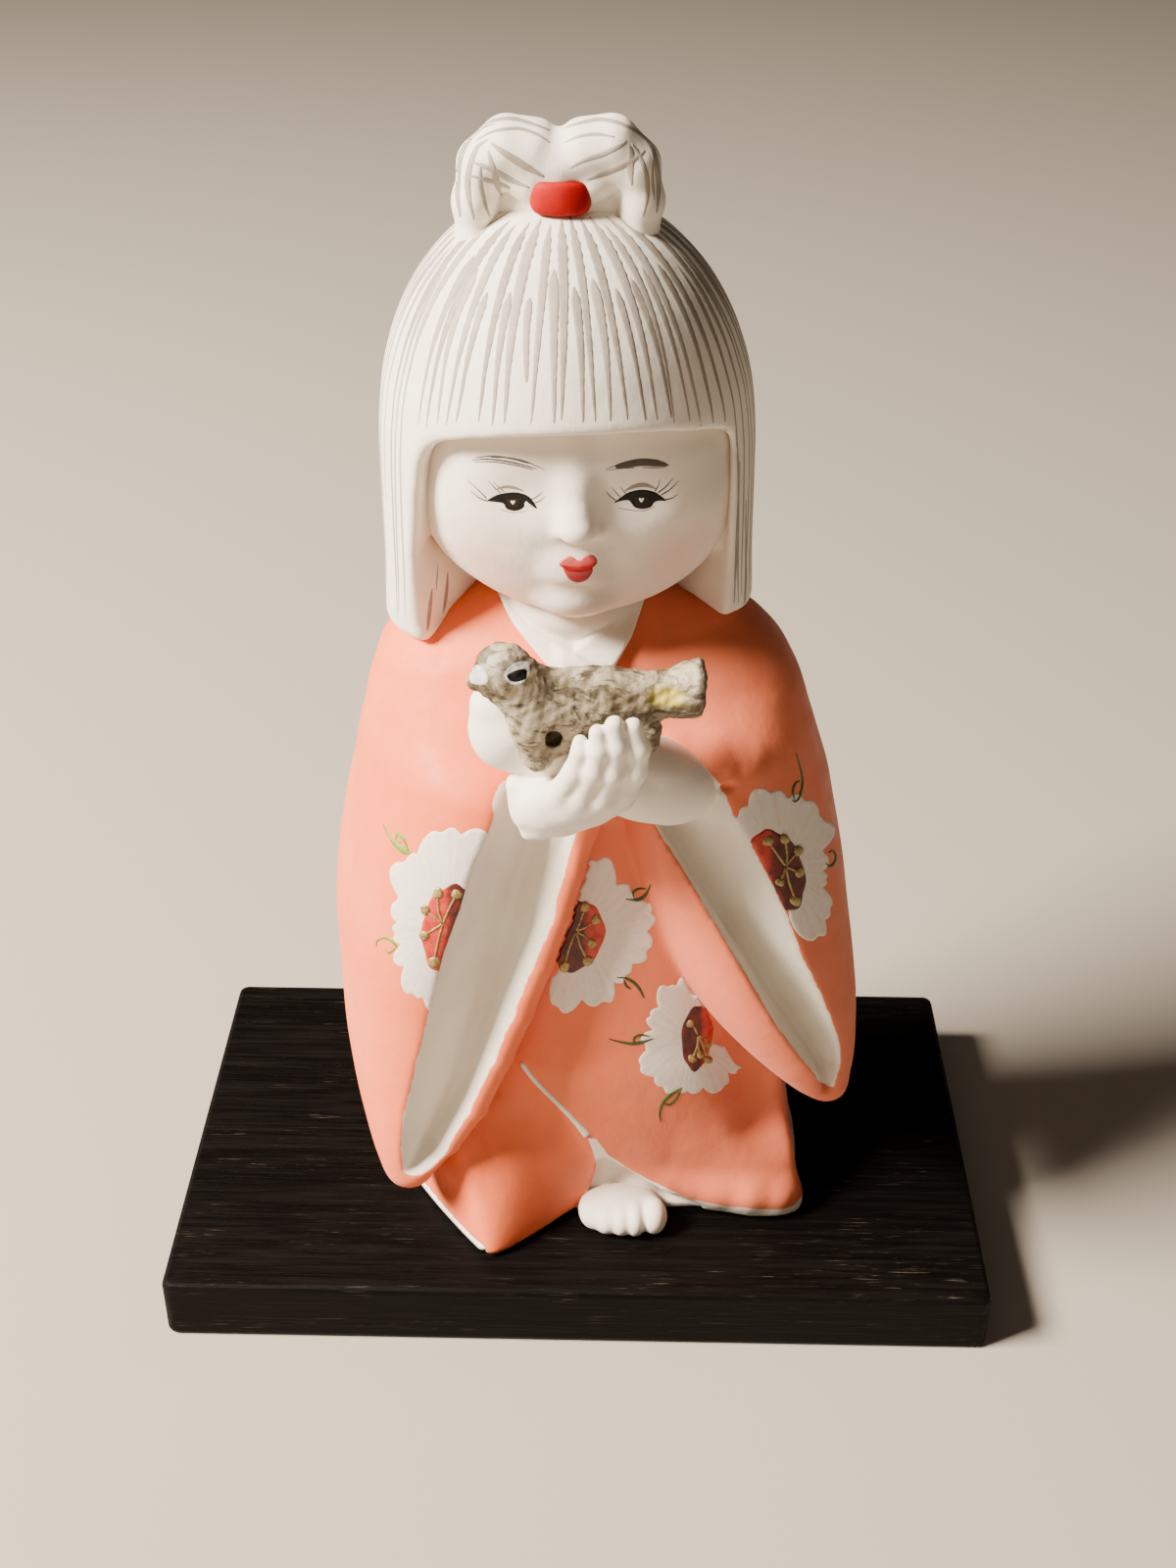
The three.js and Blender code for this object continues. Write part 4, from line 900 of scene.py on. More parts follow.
def hair_field(P):
    x, y, z = P[:, 0], P[:, 1], P[:, 2]
    d = BOB(P)
    left = 139.2 + 5.0 * smooth(-17, -4, y) * smooth(-36, -26, x) - 1.6 * smooth(4, 20, y)
    right = 145.6 - 2.4 * smooth(27, 35, x) - 4.6 * smooth(-8, 12, y)
    d = smax(d, left + (right - left) * smooth(-14, 14, x) - z, 2.6)
    d = smax(d, -window(P), 3.0 - 1.2 * smooth(-28, -22, P[:, 0]))
    room = smax(ROBE(P, 0.2), -1e3 * np.ones_like(z), 1.0)
    core = smin(SKULL(P) + 2.0, ball(P, (-1.5, 0, 144), (19, 17, 18)), 4.0)
    d = smax(d, -core, 1.0)
    return smax(d, -(room - 0.1), 1.0)


piece("hair_cap", hair_field, (-41, -38, 134), (36, 35, 223), 0.75, M_HAIR, "figure", ("hair_cap",))


# ---------------------------------------------------------------- topknot
def loop_r(P):
    Q = squeezed(P, (-12, -5, 222), (0, 1, 0), 1.25)
    pts = [(-16.8,-5,208,4.4),(-18.5,-5.2,214,3.9),(-18.9,-5.4,221,3.8),(-17.3,-5.3,227.4,4.3),(-13.2,-5.2,230.4,4.8),(-8.8,-5.2,229.7,4.9),(-5.6,-5.3,227.7,4.5),(-4.2,-5.6,223.4,3.4)]
    d = limb(Q, pts, 1.8)
    # the roll that folds down from the lobe into the tie
    d = smin(d, limb(Q, [(-13.6,-5.6,227.0,3.6),(-9.4,-6.2,224.8,3.3),(-6.0,-6.6,222.4,2.6)], 1.5), 1.4)
    web = limb(Q, [(-15.2,-2.6,216.5,3.4),(-12,-2.6,219.5,3.8),(-7,-2.8,219.5,3.6)], 2.0)
    return smin(d, web, 1.2)


def loop_l(P):
    Q = squeezed(P, (6, -5, 222), (0, 1, 0), 1.25)
    pts = [(7.6,-4.2,211.4,3.4),(9.3,-5.0,216,3.6),(10.0,-5.4,221.4,3.8),(8.6,-5.3,227.5,4.3),(4.6,-5.2,230.6,4.8),(0.2,-5.2,229.9,4.9),(-3.4,-5.3,227.7,4.5),(-4.6,-5.6,223.4,3.4)]
    d = limb(Q, pts, 1.8)
    d = smin(d, limb(Q, [(5.6,-5.6,227.2,3.6),(1.4,-6.2,225.0,3.3),(-2.0,-6.6,222.4,2.6)], 1.5), 1.4)
    web = limb(Q, [(7.4,-2.6,216.8,3.4),(4,-2.6,219.5,3.8),(-1,-2.8,219.5,3.6)], 2.0)
    return smin(d, web, 1.2)


def loops(P):
    return smin(loop_r(P), loop_l(P), 1.5)


piece("topknot_loops", loops, (-26, -14, 205), (18, 5, 238), 0.5, M_HAIR, "figure", ("topknot_right_loop", "topknot_left_loop"))


def root_field(P):
    d = ball(P, (-4, -3.6, 221), (13, 5.6, 6.5))
    return smin(d, ball(P, (-4, -7, 221.5), (5, 3.4, 5)), 3.0)


piece("topknot_root", root_field, (-19, -12, 212), (11, 4, 231), 0.5, M_HAIR, "figure", ("topknot_root",))


def tie_field(P):
    x, z = P[:, 0] + 3.9, P[:, 2] - 223.3
    q = np.hypot(np.maximum(np.abs(x) - 3.6, 0), np.maximum(np.abs(z) - 1.2, 0)) - 1.7
    inner = ball(P, (-4, -6.4, 222.2), (7.6, 6.6, 7.4))
    return smax(q, inner, 1.0)


piece("hair_tie", tie_field, (-11, -14, 219), (3, 0, 228), 0.35, M_RED, "figure", ("hair_tie",))

# ---------------------------------------------------------------- dove
DOVE = Loft([[-11.4,-41.4,137.2,1.2,2,2,0,2],[-10.4,-41.4,137.6,4.0,6.0,6.2,0,2],[-7.5,-41.2,138,5.6,8.4,8.8,0,2],[-3,-40.8,138.8,6,8.6,8.6,0,2],[3,-40.2,139.8,5.6,7.6,7.9,0,2],[8,-39.9,141,4.9,6.4,6.2,0,2],[12,-39.6,141.8,4.2,5.2,4.7,0,2],[15.5,-39.3,142.3,3.9,4.9,4.3,0,2],[19,-39,142.8,4.2,5.4,5.2,0,2.2],[21.4,-38.9,143,4.5,5.4,5.6,0,2.3],[22.6,-38.8,143.1,4.0,4.6,4.9,0,2.3],[23.2,-38.8,143.1,2.4,2.8,3.0,0,2.2]], order=(1, 2, 0))


def dove_field(P):
    d = DOVE(P)
    d = smin(d, ball(P, (-13.4, -41.8, 147.6), (5.4, 5.2, 5.4)), 1.6)
    d = smin(d, limb(P, [(-13.6,-42.2,147.4,3.4),(-18.4,-43.2,146.2,1.5)]), 1.5)
    d = smin(d, limb(P, [(-11,-41.6,144,4.6),(-6,-41,140.5,6)]), 2.5)
    # breast wedge, the small foot under the tail
    d = smin(d, limb(P, BREAST, 1.5), 2.0)
    d = smin(d, limb(P, TAIL_FOOT, 1.0), 1.8)
    d = smax(d, -limb(P, HOLE, 0.0), 0.4)
    Q = squeezed(P, (21, -38.8, 143), (0, 1, 0), 1.4)
    d = smax(d, -limb(Q, [(26,-38.4,143.4,2.4),(16,-39.2,142.8,1.0)]), 0.6)
    # the hollow pressed in the tail's front
    d = smax(d, -ball(P, at_y(686, 712, -44.6), (4.6, 2.4, 2.4)), 0.8)
    n = np.sin(P[:, 0] * 1.7 + 2 * np.sin(P[:, 2] * 0.9)) * np.sin(P[:, 2] * 1.3 + P[:, 1]) * 0.14
    n = n + 0.07 * np.sin(P[:, 0] * 4.1 + P[:, 2] * 2.2) * np.sin(P[:, 2] * 3.7 - P[:, 1] * 2.0)
    return d + n


BREAST = from_px([(536,700,-43,4.6),(545,740,-43.6,4.0),(549,774,-44.4,2.5)])
TAIL_FOOT = from_px([(650,718,-40,3.6),(662,746,-41.5,2.2),(664,760,-42,1.5)])
HOLE = from_px([(566,757,-50,1.75),(564,752,-44.5,1.7)])


def dove_material():
    """Worn off-white slip over olive-brown clay, dark where dirt sits."""
    t = Tree("worn_clay")
    patch = t.noise(105, 5, 0.6, dist=0.7)
    streak = t.noise(330, 6, 0.7, vec=t.scaled(0.55, 1, 1.3), dist=1.2)
    pits = t.noise(900, 4, 0.65)
    c = t.mix(t.ramp(patch, 0.46, 0.62), (0.325, 0.272, 0.192), (0.100, 0.078, 0.037))
    c = t.mix(t.ramp(streak, 0.50, 0.60, 0, 0.85), c, (0.050, 0.037, 0.019))
    c = t.mix(t.ramp(t.noise(210, 4, 0.6, dist=0.8), 0.58, 0.66, 0, 0.8), c, (0.42, 0.37, 0.285))
    c = t.mix(t.ramp(pits, 0.60, 0.70, 0, 0.7), c, (0.014, 0.011, 0.007))
    for q, r, f in ((at_y(512, 668, -45.0), 6.5, 0.6), (at_y(700, 690, -42.0), 6.0, 0.6)):
        c = t.mix(t.math("MULTIPLY", t.math("MULTIPLY", t.near(*q, 0.8, r), t.ramp(streak, 0.42, 0.60, 1.0, 0.25)), f), c, (0.60, 0.55, 0.43))
    q = at_y(681, 712, -43.0)
    c = t.mix(t.math("MULTIPLY", t.near(*q, 0.8, 4.4, (1, 0.4, 1.5)), 0.9), c, (0.72, 0.57, 0.09))
    rim = t.ramp(t.xyz()[0], 0.0222, 0.0231)
    c = t.mix(t.math("MULTIPLY", rim, 0.8), c, (0.035, 0.028, 0.02))
    t.set("Base Color", c)
    t.set("Roughness", t.ramp(t.noise(400, 3), 0.3, 0.7, 0.5, 0.78))
    t.bsdf.inputs["Specular IOR Level"].default_value = 0.3
    n = t.bump(patch, 0.8, 0.0005)
    n = t.bump(streak, 0.6, 0.0003, n)
    t.set("Normal", t.bump(pits, 0.5, 0.00015, n))
    return t.m


M_DOVE = dove_material()
piece("dove", dove_field, (-22, -50, 124), (30, -31, 156), 0.42, M_DOVE, "dove", ("dove_whistle",))


# ---------------------------------------------------------------- painted details
class Canvas:
    """The sculpted surfaces that paint is laid on."""

    def __init__(self, *names):
        vs, fs, n = [], [], 0
        for nm in names:
            _, v, q = PARTS[nm]
            vs.append(v)
            fs.append(q + n)
            n += len(v)
        self.tree = BVHTree.FromPolygons(np.concatenate(vs).tolist(), np.concatenate(fs).tolist())
        self.eye = Vector(EYE - np.array([0, 0, LIFT]))
        self.last = 370.0

    def hit(self, px, py):
        """Point and outward normal of the surface seen at a picture point."""
        d = Vector(ray(px, py))
        loc, nrm, _, dist = self.tree.ray_cast(self.eye, d)
        if loc is None:
            loc, nrm, _, _ = self.tree.find_nearest(self.eye + d * self.last)
        else:
            self.last = dist
            if nrm.dot(d) > 0:
                nrm = -nrm
        return np.array(loc), np.array(nrm)

    def near(self, p):
        loc, nrm, _, _ = self.tree.find_nearest(Vector(p))
        return np.array(loc), np.array(nrm)


def curve_through(pts, step, closed=False):
    """Smooth path through rows (x, y, ...) resampled at about step."""
    P = np.array(pts, float)
    n = len(P)
    seg = n if closed else n - 1
    out = []
    for i in range(seg):
        if closed:
            a, b, c, d = P[(i - 1) % n], P[i], P[(i + 1) % n], P[(i + 2) % n]
        else:
            b, c = P[i], P[i + 1]
            a = P[i - 1] if i > 0 else 2 * b - c
            d = P[i + 2] if i + 2 < n else 2 * c - b
        k = max(1, int(round(np.linalg.norm((c - b)[:2]) / step)))
        t = (np.arange(k) / k)[:, None]
        out.append(0.5 * ((2 * b) + (c - a) * t + (2 * a - 5 * b + 4 * c - d) * t**2 + (3 * b - a - 3 * c + d) * t**3))
    if not closed:
        out.append(P[-1:])
    return np.concatenate(out)


def on_one_surface(q, p, faces, limit=3.5, least=1.0, biggest=True):
    """Keeps the faces of a layer that lie on one surface: none is much longer in space than in the picture."""
    faces = [list(f) for f in faces]
    keep = []
    for f in faces:
        i, j = np.array(f), np.array(f[1:] + f[:1])
        L = np.linalg.norm(p[i] - p[j], axis=1)
        if not ((L > least) & (L > limit * 0.2 * np.linalg.norm(q[i] - q[j], axis=1))).any():
            keep.append(f)
    if not biggest or len(keep) == len(faces):
        return keep
    root = list(range(len(p)))

    def find(a):
        while root[a] != a:
            root[a] = root[root[a]]
            a = root[a]
        return a
    for f in keep:
        for b in f[1:]:
            root[find(b)] = find(f[0])
    count = {}
    for f in keep:
        count[find(f[0])] = count.get(find(f[0]), 0) + 1
    if not count:
        return keep
    top = max(count, key=count.get)
    return [f for f in keep if find(f[0]) == top]


class Paint:
    """Gathers thin closed layers of paint of one kind, then makes one piece of them."""

    def __init__(self, keys=()):
        self.v, self.f, self.keys, self.a = [], [], keys, {k: [] for k in keys}
        self.n = 0

    def add(self, top, nrm, base, faces, attrs=None, depth=0.14):
        """top: points of the layer's face; base: the surface under them; nrm: outward."""
        F = [list(f) for f in faces]
        e = {}
        good = []
        for f in F:
            p = top[f]
            c = np.cross(p[1] - p[0], p[2] - p[0])
            if len(f) == 4:
                c = c + np.cross(p[2] - p[0], p[3] - p[0])
            if np.linalg.norm(c) < 1e-9:
                continue
            good.append(f)
        if not good:
            return
        vote = 0.0
        for f in good[:: max(1, len(good) // 40)]:
            p = top[f]
            vote += float(np.cross(p[1] - p[0], p[2] - p[0]) @ nrm[f[0]])
        if vote < 0:
            good = [f[::-1] for f in good]
        for f in good:
            for i in range(len(f)):
                e[(f[i], f[(i + 1) % len(f)])] = 1
        m = len(top)
        under = base - nrm * depth
        faces2 = good + [[i + m for i in f[::-1]] for f in good]
        faces2 += [[b, a, a + m, b + m] for (a, b) in e if (b, a) not in e]
        self.v.append(np.concatenate([top, under]))
        self.f += [[i + self.n for i in f] for f in faces2]
        self.n += 2 * m
        for k in self.keys:
            v = np.asarray((attrs or {}).get(k, 0.0), float)
            v = np.full(m, float(v)) if v.ndim == 0 else v
            self.a[k].append(np.concatenate([v, v]))

    def patch(self, canvas, outline, lift=0.09, grid=3.2, rim=0.9, attrs=None, depth=0.14, dome=0.0):
        """Filled outline given in picture points."""
        O = np.array(outline, float)
        area = 0.5 * np.sum(O[:, 0] * np.roll(O[:, 1], -1) - np.roll(O[:, 0], -1) * O[:, 1])
        if area < 0:
            O = O[::-1]
        lo, hi = O.min(0), O.max(0)
        gx, gy = np.meshgrid(np.arange(lo[0], hi[0], grid), np.arange(lo[1], hi[1], grid * 0.87))
        gx[1::2] += grid * 0.5
        G = np.column_stack([gx.ravel(), gy.ravel()])
        dg = poly2d(G[:, 0].astype(np.float32), G[:, 1].astype(np.float32), O)
        G = G[dg < -(rim + 0.35 * grid)]
        tangent = np.roll(O, -1, 0) - np.roll(O, 1, 0)
        tangent /= np.maximum(np.linalg.norm(tangent, axis=1), 1e-9)[:, None]
        inner = O + np.column_stack([-tangent[:, 1], tangent[:, 0]]) * rim
        di = poly2d(inner[:, 0].astype(np.float32), inner[:, 1].astype(np.float32), O)
        inner = inner[di < -0.6 * rim]
        pts = np.concatenate([O, inner, G])
        n = len(O)
        r = delaunay_2d_cdt([Vector(p) for p in pts], [(i, (i + 1) % n) for i in range(n)], [], 1, 1e-5)
        V2 = np.array([(p.x, p.y) for p in r[0]])
        if len(V2) == 0 or not r[2]:
            return
        hits = [canvas.hit(*p) for p in V2]
        base = np.array([h[0] for h in hits])
        nrm = np.array([h[1] for h in hits])
        din = -poly2d(V2[:, 0].astype(np.float32), V2[:, 1].astype(np.float32), O)
        up = np.where(din > 0.5 * rim, lift, -0.02)
        if dome:
            up = up + dome * np.sqrt(clamp(din / max(din.max(), 1e-6)))
        at = {k: (f(V2) if callable(f) else f) for k, f in (attrs or {}).items()}
        self.add(base + nrm * up[:, None], nrm, base, on_one_surface(V2, base, r[2]), at, depth)

    def ribbon(self, canvas, rows, lift=0.08, step=2.2, cols=(-1, -0.55, 0, 0.55, 1), attrs=None, dome=0.0):
        """Brush stroke through picture points (x, y, width)."""
        R = curve_through(rows, step)
        T = np.gradient(R[:, :2], axis=0)
        T /= np.maximum(np.linalg.norm(T, axis=1), 1e-9)[:, None]
        N = np.column_stack([-T[:, 1], T[:, 0]])
        self._strip([[R[i, :2] + N[i] * R[i, 2] * 0.5 * c for c in cols] for i in range(len(R))],
                    lambda q: canvas.hit(*q), cols, lift, attrs, dome)

    def strip3d(self, canvas, rows, lift=0.07, cols=(-1, -0.5, 0, 0.5, 1), attrs=None):
        """Brush stroke through rows of points (left to right) already in space; each is drawn down to the surface."""
        self._strip(rows, canvas.near, cols, lift, attrs, 0.0)

    def _strip(self, rows, find, cols, lift, attrs, dome):
        base, nrm, up, u, v = [], [], [], [], []
        m, k = len(rows), len(cols)
        for i, row in enumerate(rows):
            for c, q in zip(cols, row):
                p, n = find(q)
                base.append(p)
                nrm.append(n)
                edge = abs(c) > 0.99 or i in (0, m - 1)
                up.append(-0.01 if edge else lift + dome * (1 - c * c))
                u.append(c)
                v.append(i / (m - 1))
        base, nrm = np.array(base), np.array(nrm)
        faces = [[i * k + j, i * k + j + 1, (i + 1) * k + j + 1, (i + 1) * k + j] for i in range(m - 1) for j in range(k - 1)]
        at = {"u": np.array(u), "v": np.array(v)}
        at.update(attrs or {})
        if len(rows[0][0]) == 2:
            faces = on_one_surface(np.array([q for row in rows for q in row], float), base, faces, 4.0, 0.8, False)
        if faces:
            self.add(base + nrm * np.array(up)[:, None], nrm, base, faces, at)

    def make(self, name, mat, body="figure", slot="white_paint"):
        if not self.f:
            return None
        o = mesh_object(name, np.concatenate(self.v), self.f, mat, {k: np.concatenate(v) for k, v in self.a.items()})
        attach(o, body)
        say(name, self.n, "points")
        return o


rng = np.random.default_rng(11)
ALL = Canvas("kimono", "hair_cap", "head", "left_hand", "right_hand", "topknot_loops", "topknot_root")
ROBE_CANVAS = Canvas("kimono")
HEAD_CANVAS = Canvas("head")
HAIR_CANVAS = Canvas("hair_cap")
KNOT_CANVAS = Canvas("topknot_loops", "topknot_root", "hair_cap")
DOVE_CANVAS = Canvas("dove")


# ---- flowers: white petals round a red heart with gold stamens
def petal_ring(cx, cy, petals, floor=0.35, seed=0):
    """Closed outline of overlapping petals: (direction deg, length, half width deg)."""
    r = np.random.default_rng(seed)
    th = np.linspace(0, 2 * math.pi, 300, endpoint=False)
    rad = np.full(len(th), floor * min(p[1] for p in petals))
    for a, ln, w in petals:
        dlt = (th - math.radians(a) + math.pi) % (2 * math.pi) - math.pi
        t = np.abs(dlt) / math.radians(w)
        body = ln * (1 - 0.42 * clamp(t)**2.4)
        notch = 1 - 0.055 * np.exp(-((dlt - math.radians(r.uniform(-0.25, 0.25) * w)) / math.radians(0.16 * w))**2)
        ruffle = 1 + 0.018 * np.sin(dlt * r.uniform(11, 17) + r.uniform(0, 6))
        rad = np.maximum(rad, np.where(t < 1, body * notch * ruffle, 0))
    return np.column_stack([cx + rad * np.cos(th), cy - rad * np.sin(th)])


def clip_side(O, line, side):
    """Keeps an outline on one side of a line x(y) in the picture; side -1 keeps what is left of it."""
    y = np.array([p[1] for p in line], float)
    x = np.array([p[0] for p in line], float)
    o = np.argsort(y)
    lim = np.interp(O[:, 1], y[o], x[o])
    O = O.copy()
    O[:, 0] = np.minimum(O[:, 0], lim) if side < 0 else np.maximum(O[:, 0], lim)
    keep = np.linalg.norm(O - np.roll(O, 1, 0), axis=1) > 0.4
    return O[keep]


EDGE_R = [(513,800),(505,830),(500,850),(485,880),(470,930),(455,970),(445,1010),(435,1050),(425,1090)]
CREASE_R = [(590,860),(575,920),(555,1000),(535,1060)]
EDGE_L = [(690,768),(715,785),(740,815),(750,840),(770,870),(800,930),(820,980),(840,1020)]
CREASE_L = [(690,900),(700,960),(715,1010),(735,1060),(750,1085),(790,1108)]

petals = Paint(("ang", "rad", "tone"))
hearts = Paint(("side", "rad"))
stamens = Paint(("u", "v"))
scrolls = Paint(("u", "v", "tone"))


def flower(c, ring, clip, heart, heart_clip, dots, hub, seed, side):
    cx, cy = c
    O = petal_ring(cx, cy, ring, seed=seed)
    if clip:
        O = clip_side(O, *clip)
    petals.patch(ROBE_CANVAS, O, 0.10, 3.6, 1.0, {
        "ang": lambda V: np.arctan2(V[:, 1] - cy, V[:, 0] - cx),
        "rad": lambda V: np.hypot(V[:, 0] - cx, V[:, 1] - cy) / 80.0,
        "tone": float(seed % 5) / 5})
    hx, hy, ha, hb, tilt = heart
    t = np.linspace(0, 2 * math.pi, 90, endpoint=False)
    r = np.random.default_rng(seed + 40)
    wob = 1 + 0.035 * np.sin(3 * t + r.uniform(0, 6)) + 0.03 * np.sin(7 * t + r.uniform(0, 6))
    ex, ey = ha * np.cos(t) * wob, hb * np.sin(t) * wob
    ca, sa = math.cos(math.radians(tilt)), math.sin(math.radians(tilt))
    H = np.column_stack([hx + ca * ex - sa * ey, hy + sa * ex + ca * ey])
    if heart_clip:
        H = clip_side(H, *heart_clip)
    # side: each heart is dark red on one side and bright red on the other, partly its own two-tone paint and partly
    # painted shade; the 0.38 shift widens the dark part on every flower but the one on the left sleeve, where the
    # sleeves shade the front
    hearts.patch(ROBE_CANVAS, H, 0.20, 3.0, 0.8, {
        "side": lambda V: (V[:, 0] - hx) / ha * side - (0.0 if cx < 500 else 0.38),
        "rad": lambda V: np.hypot(V[:, 0] - hx, V[:, 1] - hy) / hb})
    for i, (dx, dy, dr) in enumerate(dots):
        mx, my = (hub[0] + dx) / 2 + r.uniform(-2, 2), (hub[1] + dy) / 2 + r.uniform(-2, 2)
        stamens.ribbon(ROBE_CANVAS, [(hub[0], hub[1], 2.4), (mx, my, 3.0), (dx, dy, 2.6)], 0.28, 1.8, dome=0.08)
        a = np.linspace(0, 2 * math.pi, 20, endpoint=False)
        w = 1 + 0.07 * np.sin(2 * a + r.uniform(0, 6)) + 0.05 * np.sin(3 * a + i)
        stamens.patch(ROBE_CANVAS, np.column_stack([dx + dr * w * np.cos(a), dy + dr * w * np.sin(a)]), 0.26, 1.8, 0.7,
                      {"u": 0.0, "v": 0.5}, dome=0.32)


flower((449, 948), [(62,112,24),(88,104,24),(118,84,26),(152,56,26),(186,50,24),(222,58,26),(246,76,22),(268,86,18)],
       (EDGE_R, -1), (456, 946, 25, 46, 12), ([(x - 1.5, y) for x, y in EDGE_R], -1),
       [(447,911,5.8),(466,912,5.4),(434,928,5.2),(433,954,5.2),(443,981,6.0)], (452, 942), 3, -1)
flower((592, 955), [(108,82,24),(74,84,24),(42,72,22),(18,80,24),(-10,76,24),(-40,66,24),(-72,76,24),(-104,80,22)],
       (CREASE_R, 1), (590, 955, 26, 37, 14), ([(x + 2, y) for x, y in CREASE_R], 1),
       [(597,925,5.6),(608,938,5.4),(604,962,5.4),(600,980,5.8),(576,986,6.0)], (588, 950), 8, 1)
flower((706, 1060), [(86,72,26),(118,62,24),(150,52,22),(184,52,22),(212,62,24),(240,62,24),(268,58,24),(300,62,24),(330,60,20)],
       (CREASE_L, -1), (711, 1058, 16, 34, 6), ([(x - 2, y) for x, y in CREASE_L], -1),
       [(704,1044,4.2),(706,1080,4.6),(714,1076,4.4),(722,1081,4.4),(722,1066,3.6)], (712, 1056), 12, 1)
flower((800, 888), [(128,78,20),(104,88,24),(74,80,24),(48,70,22),(18,48,26),(-14,46,24),(-44,66,22),(-64,80,20)],
       (EDGE_L, 1), (794, 887, 25, 44, -22), ([(x + 2, y) for x, y in EDGE_L], 1),
       [(783,858,5.6),(800,856,5.2),(814,868,5.4),(815,890,5.4),(811,919,5.8),(795,900,4.6)], (801, 884), 21, -1)


# tone: 1.0 gives the bright yellow-green of the scrolls on the lit left sleeve, low values a dark green for those on
# the front and right; that dark green is partly a darker paint and partly painted shade
def scroll(tone, *strokes):
    for s in strokes:
        scrolls.ribbon(ROBE_CANVAS, s, 0.12, 1.6, attrs={"tone": tone}, dome=0.04)


scroll(1.0, [(391,841,0.8),(396,852,2.0),(404,862,4.6),(412,868,6.6),(417,871,2.6),(419,869,1.0)],
       [(417,869,1.2),(412,857,3.4),(406,851,3.4),(404,856,2.2),(409,860,1.2)])
scroll(1.0, [(384,967,0.8),(385,960,1.8),(391,957,2.6),(398,959,3.0),(404,965,2.4),(406,969,0.8)], [(404,967,1.0),(397,972,2.4),(393,969,1.2)])
scroll(0.35, [(812,768,0.8),(816,782,1.6),(819,798,2.4),(816,812,3.4),(811,818,3.0),(807,815,1.4)], [(811,818,1.2),(809,808,3.0),(812,799,2.6),(817,797,1.2)])
scroll(0.25, [(841,879,1.0),(846,884,2.6),(851,881,3.2),(853,874,2.6),(849,868,2.0),(845,871,1.0)])
scroll(0.2, [(637,917,1.0),(645,918,3.0),(652,918,4.2),(659,913,3.4),(663,905,1.8),(664,902,0.8)], [(648,919,1.2),(646,911,2.8),(652,907,2.8),(659,907,1.2)])
scroll(0.2, [(628,997,0.8),(638,998,2.8),(647,1003,3.6),(653,1010,3.0),(657,1019,1.0)], [(636,998,1.2),(639,1006,2.8),(644,1009,1.2)])
scroll(0.2, [(621,1060,0.8),(632,1063,2.2),(645,1065,3.2),(656,1063,3.8),(668,1059,1.0)], [(646,1065,1.2),(648,1058,3.0),(656,1056,2.6),(664,1058,1.0)])
scroll(0.3, [(674,1145,0.8),(673,1136,2.2),(676,1126,3.4),(683,1118,4.2),(692,1112,2.8),(697,1109,0.8)], [(676,1126,1.2),(683,1127,2.8),(690,1121,2.8),(696,1110,1.0)])


def streak_paint(name, a, b, attr_a, scale, rough=0.55, bump=0.4, spec=0.35):
    t = Tree(name)
    n = t.node("ShaderNodeCombineXYZ")
    t.put(n.inputs[0], t.math("MULTIPLY", t.attr(attr_a), scale))
    t.put(n.inputs[1], t.math("MULTIPLY", t.attr("rad"), 1.6))
    s = t.noise(1.0, 4, 0.65, vec=n.outputs[0])
    f = t.noise(700, 3, 0.6)
    t.set("Base Color", t.mix(t.ramp(s, 0.35, 0.72), a, t.mix(t.ramp(f, 0.4, 0.7), b, a)))
    t.set("Roughness", t.ramp(f, 0.3, 0.7, rough - 0.06, rough + 0.08))
    t.bsdf.inputs["Specular IOR Level"].default_value = spec
    t.set("Normal", t.bump(s, bump, 0.00025, t.bump(f, 0.3, 0.00008)))
    return t


M_PETAL = streak_paint("petal_paint", (0.80, 0.74, 0.69), (0.72, 0.60, 0.53), "ang", 11.0).m
petals.make("flower_petals", M_PETAL, slot="white_paint")

ht = Tree("heart_paint")
side = ht.math("ADD", ht.attr("side"), ht.math("MULTIPLY", ht.math("SUBTRACT", ht.noise(900, 3), 0.5), 0.5))
red = ht.mix(ht.ramp(ht.noise(500, 4, 0.7), 0.4, 0.65), (0.56, 0.045, 0.022), (0.36, 0.016, 0.010))
dark = ht.mix(ht.ramp(ht.noise(350, 3), 0.4, 0.7), (0.060, 0.006, 0.006), (0.16, 0.010, 0.008))
# the dark side of the hearts is partly paint and partly painted shade, set by side in flower()
ht.set("Base Color", ht.mix(ht.ramp(side, -0.25, 0.15, 1.0, 0.0), red, dark))
ht.set("Roughness", ht.ramp(ht.noise(600, 2), 0.3, 0.7, 0.38, 0.55))
ht.bsdf.inputs["Specular IOR Level"].default_value = 0.42
ht.set("Normal", ht.bump(ht.noise(900, 3, 0.6), 0.4, 0.00012))
hearts.make("flower_hearts", ht.m, slot="red_paint")

gt = Tree("stamen_gold")
g = gt.mix(gt.ramp(gt.noise(1400, 3, 0.7), 0.4, 0.65), (0.42, 0.31, 0.11), (0.20, 0.13, 0.04))
gt.set("Base Color", g)
gt.bsdf.inputs["Metallic"].default_value = 0.35
gt.set("Roughness", gt.ramp(gt.noise(900, 2), 0.3, 0.7, 0.38, 0.6))
gt.set("Normal", gt.bump(gt.noise(2200, 3, 0.6), 0.5, 0.0001))
stamens.make("flower_stamens", gt.m, slot="white_paint")

st = Tree("scroll_green")
